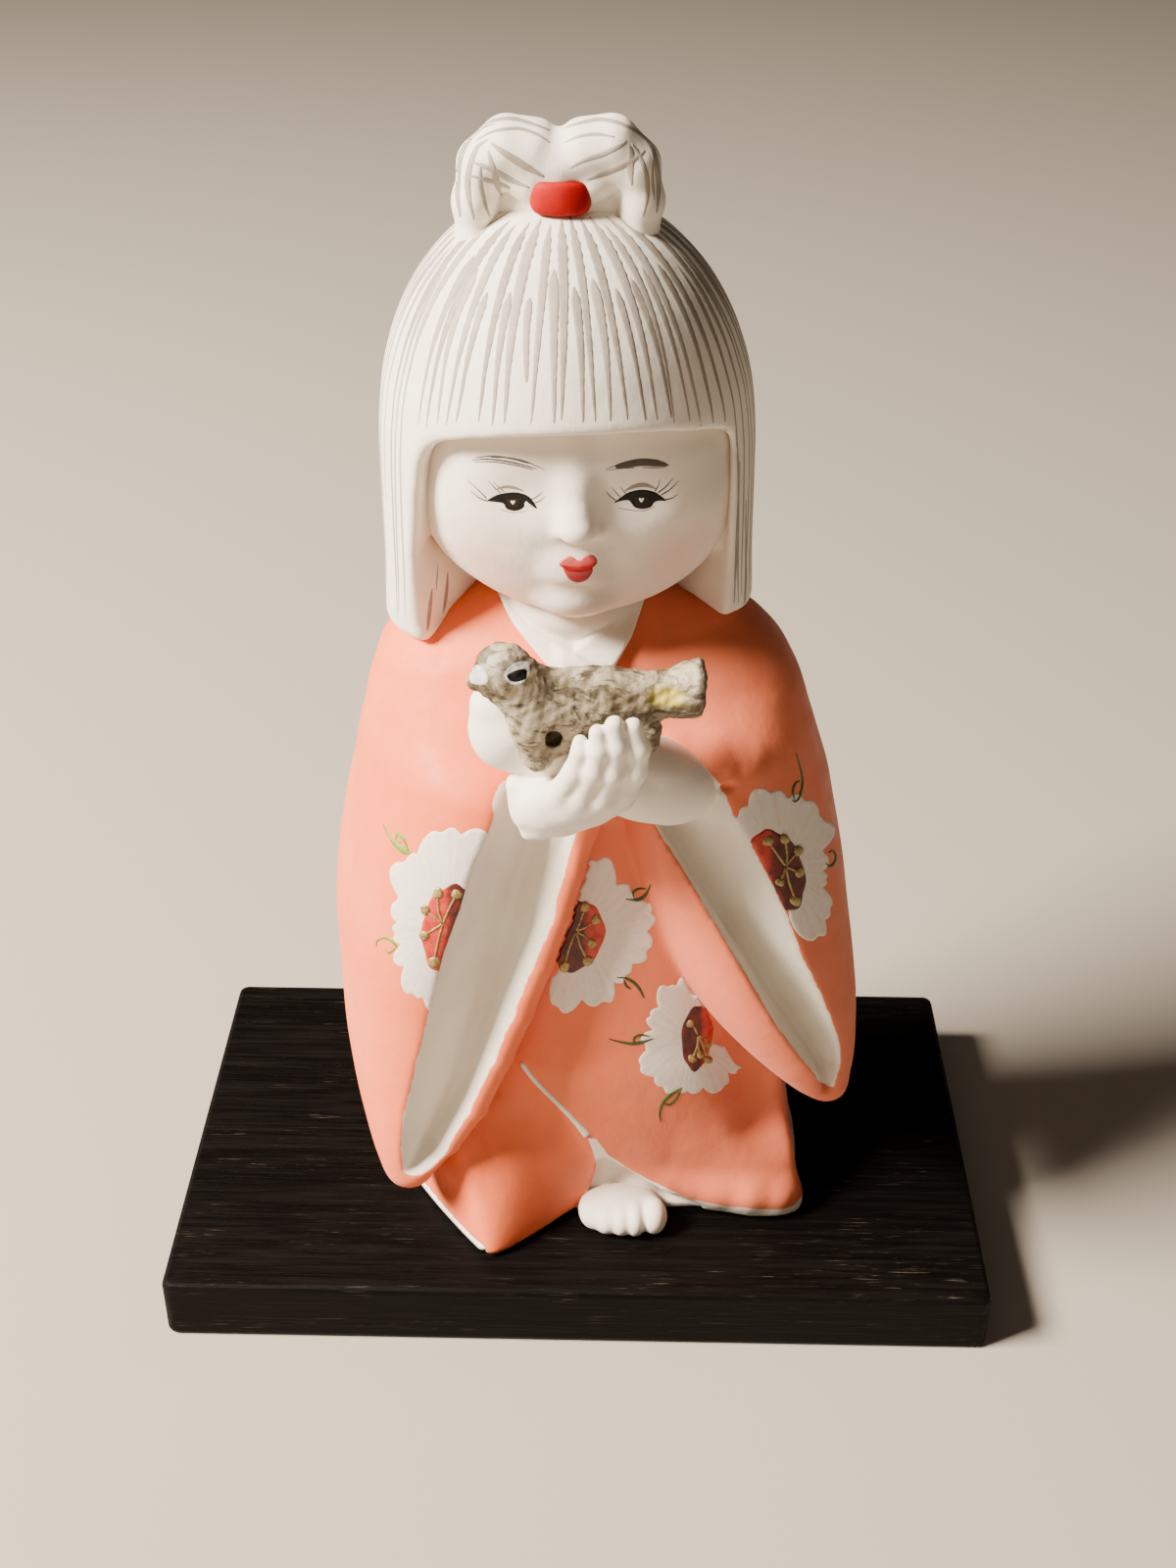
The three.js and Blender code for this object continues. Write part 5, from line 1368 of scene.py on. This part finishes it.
# tone mixes the yellow-green paint with a dark green that is partly a darker paint and partly painted shade, for the
# scrolls that sit in shade
tone = st.attr("tone")
lo = st.mix(st.ramp(st.noise(700, 3), 0.35, 0.7), (0.026, 0.046, 0.006), (0.012, 0.022, 0.004))
hi = st.mix(st.ramp(st.noise(700, 3), 0.35, 0.7), (0.16, 0.30, 0.016), (0.08, 0.18, 0.008))
st.set("Base Color", st.mix(st.ramp(tone, 0.1, 1.0, 0, 1, "LINEAR"), lo, hi))
st.set("Roughness", st.ramp(st.noise(600, 2), 0.3, 0.7, 0.42, 0.6))
st.set("Normal", st.bump(st.noise(1500, 3), 0.4, 0.0001))
scrolls.make("green_scrolls", st.m, slot="white_paint")

# ---- the white line along the skirt's overlap
piping = Paint(("u", "v"))
piping.ribbon(ROBE_CANVAS, [(532,1083,1.6),(534,1087,4.4),(542,1098,4.4),(553,1110,4.6),(564,1121,4.8),(573,1130,5.0),(583,1140,5.4),(592,1150,6.6),(600,1159,8.8)], 0.24, 2.0, dome=0.16)
piping.make("skirt_piping", M_WHITE, slot="white_paint")

# ---- face
eyes, iris, light, brows, lid, lipp, lipr = (Paint(("u", "v")) for _ in range(7))
HC = HEAD_CANVAS
eyes.patch(HC, curve_through([(497,511),(505,505.5),(515,502.8),(527,502.2),(537,505),(543.5,510.5),(548.5,519.5),(541,515.5),(535.5,513),(535,517),(530,520.6),(523,521.4),(516.5,519),(513.5,514),(506,512.5)], 1.3, True), 0.06, 1.9, 0.5)
eyes.patch(HC, curve_through([(626,513.5),(633,507.5),(642,502),(655,499.4),(667,501.5),(674,505.5),(680,511),(672,511.2),(667.5,513),(664,517.5),(656,519.6),(648,518),(644,513.5),(641,510.6),(634,511.2)], 1.3, True), 0.06, 1.9, 0.5)
for cx, cy, r in ((524.5, 512.2, 7.4), (655.5, 509.5, 8.4)):
    a = np.linspace(0, 2 * math.pi, 28, endpoint=False)
    ring = np.column_stack([cx + r * np.cos(a), cy + r * np.sin(a)])
    ring[:, 1] = np.maximum(ring[:, 1], cy - 0.45 * r)
    iris.patch(HC, ring, 0.085, 1.9, 0.5)
for cx, cy, k in ((523.5, 512.5, 1.0), (654.5, 510, 1.1)):
    light.patch(HC, curve_through([(cx, cy + 2.6 * k), (cx - 2.6 * k, cy - 0.6 * k), (cx - 1.6 * k, cy - 2.2 * k), (cx, cy - 1.3 * k), (cx + 1.7 * k, cy - 2.3 * k), (cx + 2.6 * k, cy - 0.6 * k)], 0.8, True), 0.11, 1.5, 0.35)
light.patch(HC, curve_through([(536.5,511.2),(541,514.2),(545,517.6),(539,517.2),(536,516)], 0.9, True), 0.07, 1.5, 0.35)
LASH = [[(497,509,1.3),(489,501,1.0),(475.5,488.5,0.5)], [(498,511.5,1.4),(489,508,1.1),(480,500.5,0.5)], [(511,503,1.1),(504,497,0.9),(496.5,488.5,0.4)],
        [(515,501.8,1.0),(509,497,0.8),(503,491,0.4)], [(541,510,1.2),(547,507.5,1.0),(554,501.5,0.4)], [(545,513.5,1.2),(551,511,1.0),(557.5,506,0.4)],
        [(629,511,1.3),(624,507.5,1.0),(617.5,501,0.4)], [(633,507.5,1.1),(629,503,0.9),(624,497,0.4)], [(639,504,1.0),(635.5,500,0.8),(633,496.5,0.4)],
        [(668,501.5,1.2),(671.5,496,0.9),(673.5,488.5,0.4)], [(671,503,1.3),(679,497,1.1),(688,487,0.4)], [(674,505.5,1.3),(683,500,1.1),(692.5,490.5,0.4)], [(678,510,1.3),(685,508.5,1.0),(692,504,0.4)]]
for s in LASH:
    brows.ribbon(HC, [(a, b, 1.35 * c) for a, b, c in s], 0.05, 1.4, (-1, 0, 1), attrs={"v": 0.1})
lid.ribbon(HC, [(510,519.5,1.2),(518,522,1.5),(527,523,1.4),(538,521,1.0)], 0.035, 1.6, (-1, 0, 1))
lid.ribbon(HC, [(630,518,0.9),(642,520.3,1.3),(656,521.3,1.5),(669,517,1.0)], 0.035, 1.6, (-1, 0, 1))
lid.ribbon(HC, [(504,500,1.2),(514,496.8,3.6),(524,497.4,3.8),(535,501.5,1.2)], 0.03, 1.8)
lid.ribbon(HC, [(637,501,1.4),(647,496.2,4.6),(658,494.8,5.0),(670,499,1.4)], 0.03, 1.8)
for s in ([(481,469.5,0.8),(497,468.6,1.3),(516,470.6,1.4),(533,474.4,1.2),(548,478.6,0.6)], [(484,467,0.7),(503,465.6,1.2),(522,468,1.3),(540,473,0.7)],
          [(483,471.5,0.6),(500,471.2,1.1),(520,473.6,1.2),(545,479.4,0.7)], [(500,466.8,0.6),(519,467.2,1.0),(537,471.2,0.9),(556,479.6,0.5)]):
    brows.ribbon(HC, [(a, b, 1.55 * c) for a, b, c in s], 0.045, 1.8, (-1, 0, 1), attrs={"v": 0.3})
brows.patch(HC, curve_through([(628,474.5),(638,470.6),(652,467.8),(664,468.2),(675,471.2),(682.5,475.2),(672,476.6),(657,475.8),(642,477.2),(630,478.4)], 1.6, True), 0.045, 2.4, 0.6, {"v": 0.5})
for s in ([(617,479.4,0.6),(627,475.6,1.3),(640,471.6,1.6)], [(618,480.4,0.5),(632,478.2,1.2),(648,477.2,1.2)], [(660,468.2,1.2),(674,470.2,1.2),(684,475.6,0.5)], [(655,477,1.2),(670,477.4,1.1),(681,476.6,0.5)]):
    brows.ribbon(HC, s, 0.05, 1.8, (-1, 0, 1), attrs={"v": 0.55})
lipp.patch(HC, curve_through([(570,576),(575,570),(581,567),(586,569),(590,571.6),(596,568),(602,565.8),(607,567.4),(609.6,573),(603,577),(590,580),(578,579)], 1.6, True), 0.09, 2.2, 0.6, dome=0.10)
lipp.patch(HC, curve_through([(575,579.5),(577,586),(581,591.5),(588,594.6),(596,593.4),(602,588.6),(605,580.5),(598,578),(584,578)], 1.6, True), 0.09, 2.2, 0.6, {"u": 1.0}, dome=0.12)
lipr.patch(HC, curve_through([(570.6,576),(579,576.4),(587,577.6),(594,576.6),(602,574.8),(609.4,573.4),(605.6,578.6),(598,582.6),(590,583.6),(581,582.6),(574,579.4)], 1.4, True), 0.20, 1.8, 0.5)
M_BLACK = plain_paint("eye_black", (0.0035, 0.0025, 0.002), (0.007, 0.005, 0.004), 0.42, 900, 0.25, 0.15).m
M_IRIS = plain_paint("iris_brown", (0.016, 0.009, 0.006), (0.006, 0.004, 0.003), 0.42, 1200, 0.25, 0.15).m
M_LIGHT = plain_paint("eye_light", (0.80, 0.74, 0.66), (0.66, 0.60, 0.52), 0.45, 900, 0.4, 0.1).m
bt = Tree("brow_paint")
bt.set("Base Color", bt.mix(bt.attr("v"), (0.013, 0.009, 0.008), (0.105, 0.078, 0.062)))
bt.set("Roughness", bt.ramp(bt.noise(900, 2), 0.3, 0.7, 0.5, 0.65))
bt.set("Normal", bt.bump(bt.noise(1500, 2), 0.2, 0.00005))
M_LID = plain_paint("lid_shade", (0.24, 0.195, 0.165), (0.36, 0.30, 0.25), 0.6, 700, 0.3, 0.1).m
lt = Tree("lip_pink")
lt.set("Base Color", lt.mix(lt.attr("u"), lt.mix(lt.ramp(lt.noise(800, 3), 0.4, 0.7), (0.46, 0.055, 0.055), (0.52, 0.080, 0.075)), (0.34, 0.018, 0.024)))
lt.set("Roughness", lt.ramp(lt.noise(700, 2), 0.3, 0.7, 0.42, 0.56))
lt.set("Normal", lt.bump(lt.noise(1500, 3), 0.3, 0.00006))
M_LIPRED = plain_paint("lip_red", (0.32, 0.0015, 0.004), (0.22, 0.001, 0.003), 0.4, 700, 0.3, 0.2).m
eyes.make("eye_outlines", M_BLACK, slot="face_paint")
iris.make("eye_irises", M_IRIS, slot="face_paint")
light.make("eye_lights", M_LIGHT, slot="face_paint")
brows.make("brows_and_lashes", bt.m, slot="face_paint")
lid.make("lid_shading", M_LID, slot="face_paint")
lipp.make("lips_pink", lt.m, slot="face_paint")
lipr.make("lips_red", M_LIPRED, slot="red_paint")

# ---- hair strokes: thin grey washes drawn from the crown down
strokes = Paint(("u", "v", "tone"))
phi = -math.pi * 1.5
late = False
while phi < math.pi * 0.5:
    ph = phi + rng.uniform(-0.012, 0.012)
    deg = math.degrees(ph) % 360          # 270 is the front
    fx = abs((deg - 270 + 180) % 360 - 180)
    in_front = 222.0 < deg < 326.0
    if 218.5 < deg < 222.0 or 326.0 < deg < 331.5:
        phi += math.radians(1.5)
        continue
    # every other stroke starts lower, where the spread leaves room for it
    z_top = rng.uniform(210.5, 215.0) if late else rng.uniform(219.0, 220.6)
    late = not late
    if in_front:
        z_low = 190.5 - 6.5 * (fx / 52)**2.2 + rng.uniform(0.0, 1.6)
    else:
        z_low = rng.uniform(142, 150) if rng.random() < 0.75 else rng.uniform(160, 178)
    if rng.random() < 0.06:
        z_low += rng.uniform(3, 8)
    wmax = rng.uniform(1.35, 1.95)
    n = max(10, int((z_top - z_low) / 1.5))
    zs = z_top + (z_low - z_top) * np.linspace(0, 1, n)**1.25
    t = np.linspace(0, 1, n)
    fall = np.interp(zs, [140, 170, 188, 192.5, 197.5, 203, 209, 216, 221], [0.38, 0.48, 0.36, 0.43, 0.58, 0.88, 1.18, 1.42, 1.2])
    w = wmax * fall * (0.12 + 0.88 * smooth(0.0, 0.16, t)) * (1 - 0.6 * smooth(0.86, 1.0, t))
    drift = rng.uniform(-0.026, 0.026)
    sway = rng.uniform(-0.012, 0.012)
    pt = BOB.point(zs, ph + drift * t + sway * np.sin(t * 4))
    pt2 = BOB.point(zs, ph + drift * t + sway * np.sin(t * 4) + 0.01)
    tan = pt2 - pt
    tan /= np.maximum(np.linalg.norm(tan, axis=1), 1e-9)[:, None]
    rows = [[pt[i] + tan[i] * w[i] * 0.5 * c for c in (-1, -0.5, 0, 0.5, 1)] for i in range(n)]
    strokes.strip3d(HAIR_CANVAS, rows, 0.06, attrs={"tone": float(rng.uniform(0, 1))})
    phi += math.radians(rng.uniform(4.0, 5.0))
for s in ([(441,600,1.2),(439,618,4.0),(437,636,3.6),(436,645,1.0)], [(457,583,0.8),(456,600,3.6),(454,616,3.4),(452,626,0.8)], [(447,575,0.5),(446,590,1.6),(445,603,0.6)],
          [(755,470,0.8),(753,520,2.4),(751,570,3.0),(749,616,1.2)], [(761,510,0.8),(761,550,1.6),(761,590,2.4),(760,614,2.0),(760,620,0.8)]):
    strokes.ribbon(HAIR_CANVAS, s, 0.06, 3.0, attrs={"tone": 0.8})
KN = [[(470,222,1.4),(467,200,3.4),(468,170,4.4),(476,146,3.6),(492,131,2.0),(506,126,0.8)], [(484,225,1.0),(478,200,4.0),(478,176,4.6),(486,152,3.4),(498,142,1.2)],
      [(500,222,1.0),(494,205,3.2),(490,185,3.6),(491,165,1.4)], [(480,165,1.2),(500,172,4.4),(520,183,4.0),(541,192,1.4)], [(500,145,1.2),(516,157,5.0),(535,169,5.4),(556,181,1.6)],
      [(476,178,1.0),(498,184,3.6),(516,190,2.4),(521,193,0.8)], [(498,153,1.4),(503,172,5.0),(508,190,4.6),(512,200,1.4)],
      [(478,137,1.0),(497,125,2.6),(521,121,2.8),(545,127,2.4),(562,133,0.8)], [(486,143,0.8),(504,134,2.2),(528,131,2.4),(548,137,2.0),(562,146,0.8)],
      [(670,218,1.2),(672,195,3.6),(670,168,4.4),(662,146,3.6),(646,131,2.2),(630,125,0.8)], [(656,222,1.0),(660,200,3.6),(659,178,4.6),(651,156,3.0),(644,146,1.2)],
      [(645,190,1.2),(643,172,5.6),(644,156,4.8),(641,147,1.4)], [(598,184,1.6),(617,177,4.0),(634,170,4.4),(651,160,3.8),(659,153,1.0)],
      [(580,172,1.2),(598,163,3.4),(616,157,4.4),(634,148,3.4),(640,143,1.0)], [(574,131,0.8),(590,126,2.4),(612,122,3.0),(636,127,2.6),(654,138,0.8)],
      [(575,146,0.8),(592,139,2.2),(610,137,2.6),(628,140,1.0)], [(668,205,0.8),(666,186,2.4),(666,160,0.8)]]
for s in KN:
    strokes.ribbon(KNOT_CANVAS, [(a, b, 1.55 * c) for a, b, c in s], 0.06, 3.0, attrs={"tone": float(rng.uniform(0.2, 1))})
kt = Tree("hair_strokes")
edge = kt.ramp(kt.math("ABSOLUTE", kt.attr("u")), 0.45, 1.0, 0.0, 0.35)
wash = kt.mix(kt.ramp(kt.attr("tone"), 0, 1, 0, 1, "LINEAR"), (0.40, 0.350, 0.305), (0.27, 0.235, 0.20))
wash = kt.mix(kt.ramp(kt.noise(500, 4, 0.6), 0.42, 0.72, 0, 0.5), wash, (0.44, 0.39, 0.34))
kt.set("Base Color", kt.mix(kt.math("MULTIPLY", edge, 0.9), wash, (0.27, 0.24, 0.215)))
kt.set("Roughness", kt.ramp(kt.noise(300, 3), 0.3, 0.7, 0.52, 0.68))
kt.bsdf.inputs["Specular IOR Level"].default_value = 0.3
clay_bump(kt, 0.3, 0.3)
strokes.make("hair_strokes", kt.m, slot="hair_paint")

# ---- dove paint
beak, deye, dring, dgold = (Paint(("u", "v")) for _ in range(4))
beak.patch(DOVE_CANVAS, curve_through([(482,681),(487,678.5),(493,681),(497,688),(498,696),(493,699),(485,698.5),(480,696),(479,689)], 1.6, True), 0.07, 2.2, 0.6)
deye.patch(DOVE_CANVAS, curve_through([(516.5,689),(522,685.5),(529,683),(536,682.6),(537.6,687),(537,692.6),(531,695.4),(524,696.2),(519,693.6)], 1.6, True), 0.12, 2.2, 0.6)
dring.patch(DOVE_CANVAS, curve_through([(515,689),(518,682),(525,677),(534,674.6),(540,677),(541,684),(538,693),(531,698),(523,698.6),(517,695)], 1.6, True), 0.06, 2.2, 0.6)
beak.make("dove_beak_paint", plain_paint("lilac_slip", (0.60, 0.57, 0.62), (0.50, 0.46, 0.46), 0.55, 600).m, "dove", "worn_clay")
dring.make("dove_eye_ring", plain_paint("grey_slip", (0.46, 0.45, 0.44), (0.25, 0.23, 0.21), 0.55, 700).m, "dove", "worn_clay")
deye.make("dove_eye", plain_paint("dove_black", (0.003, 0.003, 0.003), (0.008, 0.007, 0.006), 0.42, 700, 0.25).m, "dove", "worn_clay")


# ---------------------------------------------------------------- board and peg
def wood_material():
    t = Tree("stained_wood")
    grain = t.noise(1.0, 5, 0.6, vec=t.scaled(40, 900, 900))
    pores = t.noise(1.0, 4, 0.7, vec=t.scaled(90, 2600, 2600))
    c = t.mix(t.ramp(grain, 0.4, 0.7), (0.0013, 0.0009, 0.0007), (0.0036, 0.0026, 0.0021))
    dash = t.math("MULTIPLY", t.ramp(pores, 0.60, 0.70), t.ramp(t.noise(1.0, 3, 0.6, vec=t.scaled(25, 120, 120)), 0.45, 0.62))
    c = t.mix(t.math("MULTIPLY", dash, 0.8), c, (0.095, 0.076, 0.062))
    near_front = t.ramp(t.xyz()[1], -0.0515, -0.0500, 1.0, 0.0)
    side = t.ramp(t.xyz()[0], 0.055, 0.088)
    upper = t.ramp(t.xyz()[2], 0.0120, 0.0142)
    chips = t.ramp(t.noise(240, 5, 0.65, dist=0.6), 0.60, 0.66)
    wear = t.math("MULTIPLY", t.math("MULTIPLY", chips, upper), t.math("MULTIPLY", near_front, side))
    c = t.mix(t.math("MULTIPLY", wear, 0.75), c, (0.20, 0.150, 0.105))
    t.set("Base Color", c)
    t.set("Roughness", t.ramp(grain, 0.3, 0.7, 0.45, 0.68))
    t.bsdf.inputs["Specular IOR Level"].default_value = 0.08
    t.set("Normal", t.bump(grain, 0.6, 0.0004, t.bump(pores, 0.7, 0.0002)))
    return t.m


M_WOOD = wood_material()
M_PEG = plain_paint("peg_wood", (0.55, 0.38, 0.20), (0.42, 0.27, 0.13), 0.6, 200).m


def node_material(name, mat):
    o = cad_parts[name]
    if not o.material_slots:
        o.data.materials.append(mat)
    for s in o.material_slots:
        s.material = mat


node_material("base_board", M_WOOD)
node_material("locating_peg", M_PEG)

# ---------------------------------------------------------------- floor and light
floor_me = bpy.data.meshes.new("floor")
floor_me.from_pydata([(-3, -3, 0), (3, -3, 0), (3, 3, 0), (-3, 3, 0)], [], [(0, 1, 2, 3)])
floor = collection_link(bpy.data.objects.new("floor", floor_me))
ft = Tree("floor_paper")
ft.set("Base Color", (0.385, 0.348, 0.300))
ft.set("Roughness", 0.9)
floor_me.materials.append(ft.m)


def area(name, loc, target, size, power, color=(1, 1, 1)):
    d = bpy.data.lights.new(name, "AREA")
    d.shape = "RECTANGLE"
    d.size, d.size_y = size
    d.energy = power
    d.color = color
    o = collection_link(bpy.data.objects.new(name, d))
    o.location = loc
    o.rotation_mode = "QUATERNION"
    o.rotation_quaternion = (Vector(target) - Vector(loc)).to_track_quat("-Z", "Y")
    return o


area("key", (-0.978, -0.318, 1.00), (0, 0, 0.13), (0.50, 0.36), 114.0, (1.0, 0.875, 0.73))
area("fill", (-0.12, -1.20, 0.55), (0, 0, 0.12), (1.0, 1.0), 1.55, (1.0, 0.78, 0.58))
area("top", (0.0, 0.1, 1.1), (0, 0, 0.1), (0.8, 0.8), 0.4, (1, 0.98, 0.95))
world = bpy.data.worlds.new("studio") if bpy.context.scene.world is None else bpy.context.scene.world
bpy.context.scene.world = world
world.use_nodes = True
bg = world.node_tree.nodes.get("Background") or world.node_tree.nodes.new("ShaderNodeBackground")
bg.inputs[0].default_value = (1.0, 0.78, 0.56, 1.0)
bg.inputs[1].default_value = 0.045

say("built")
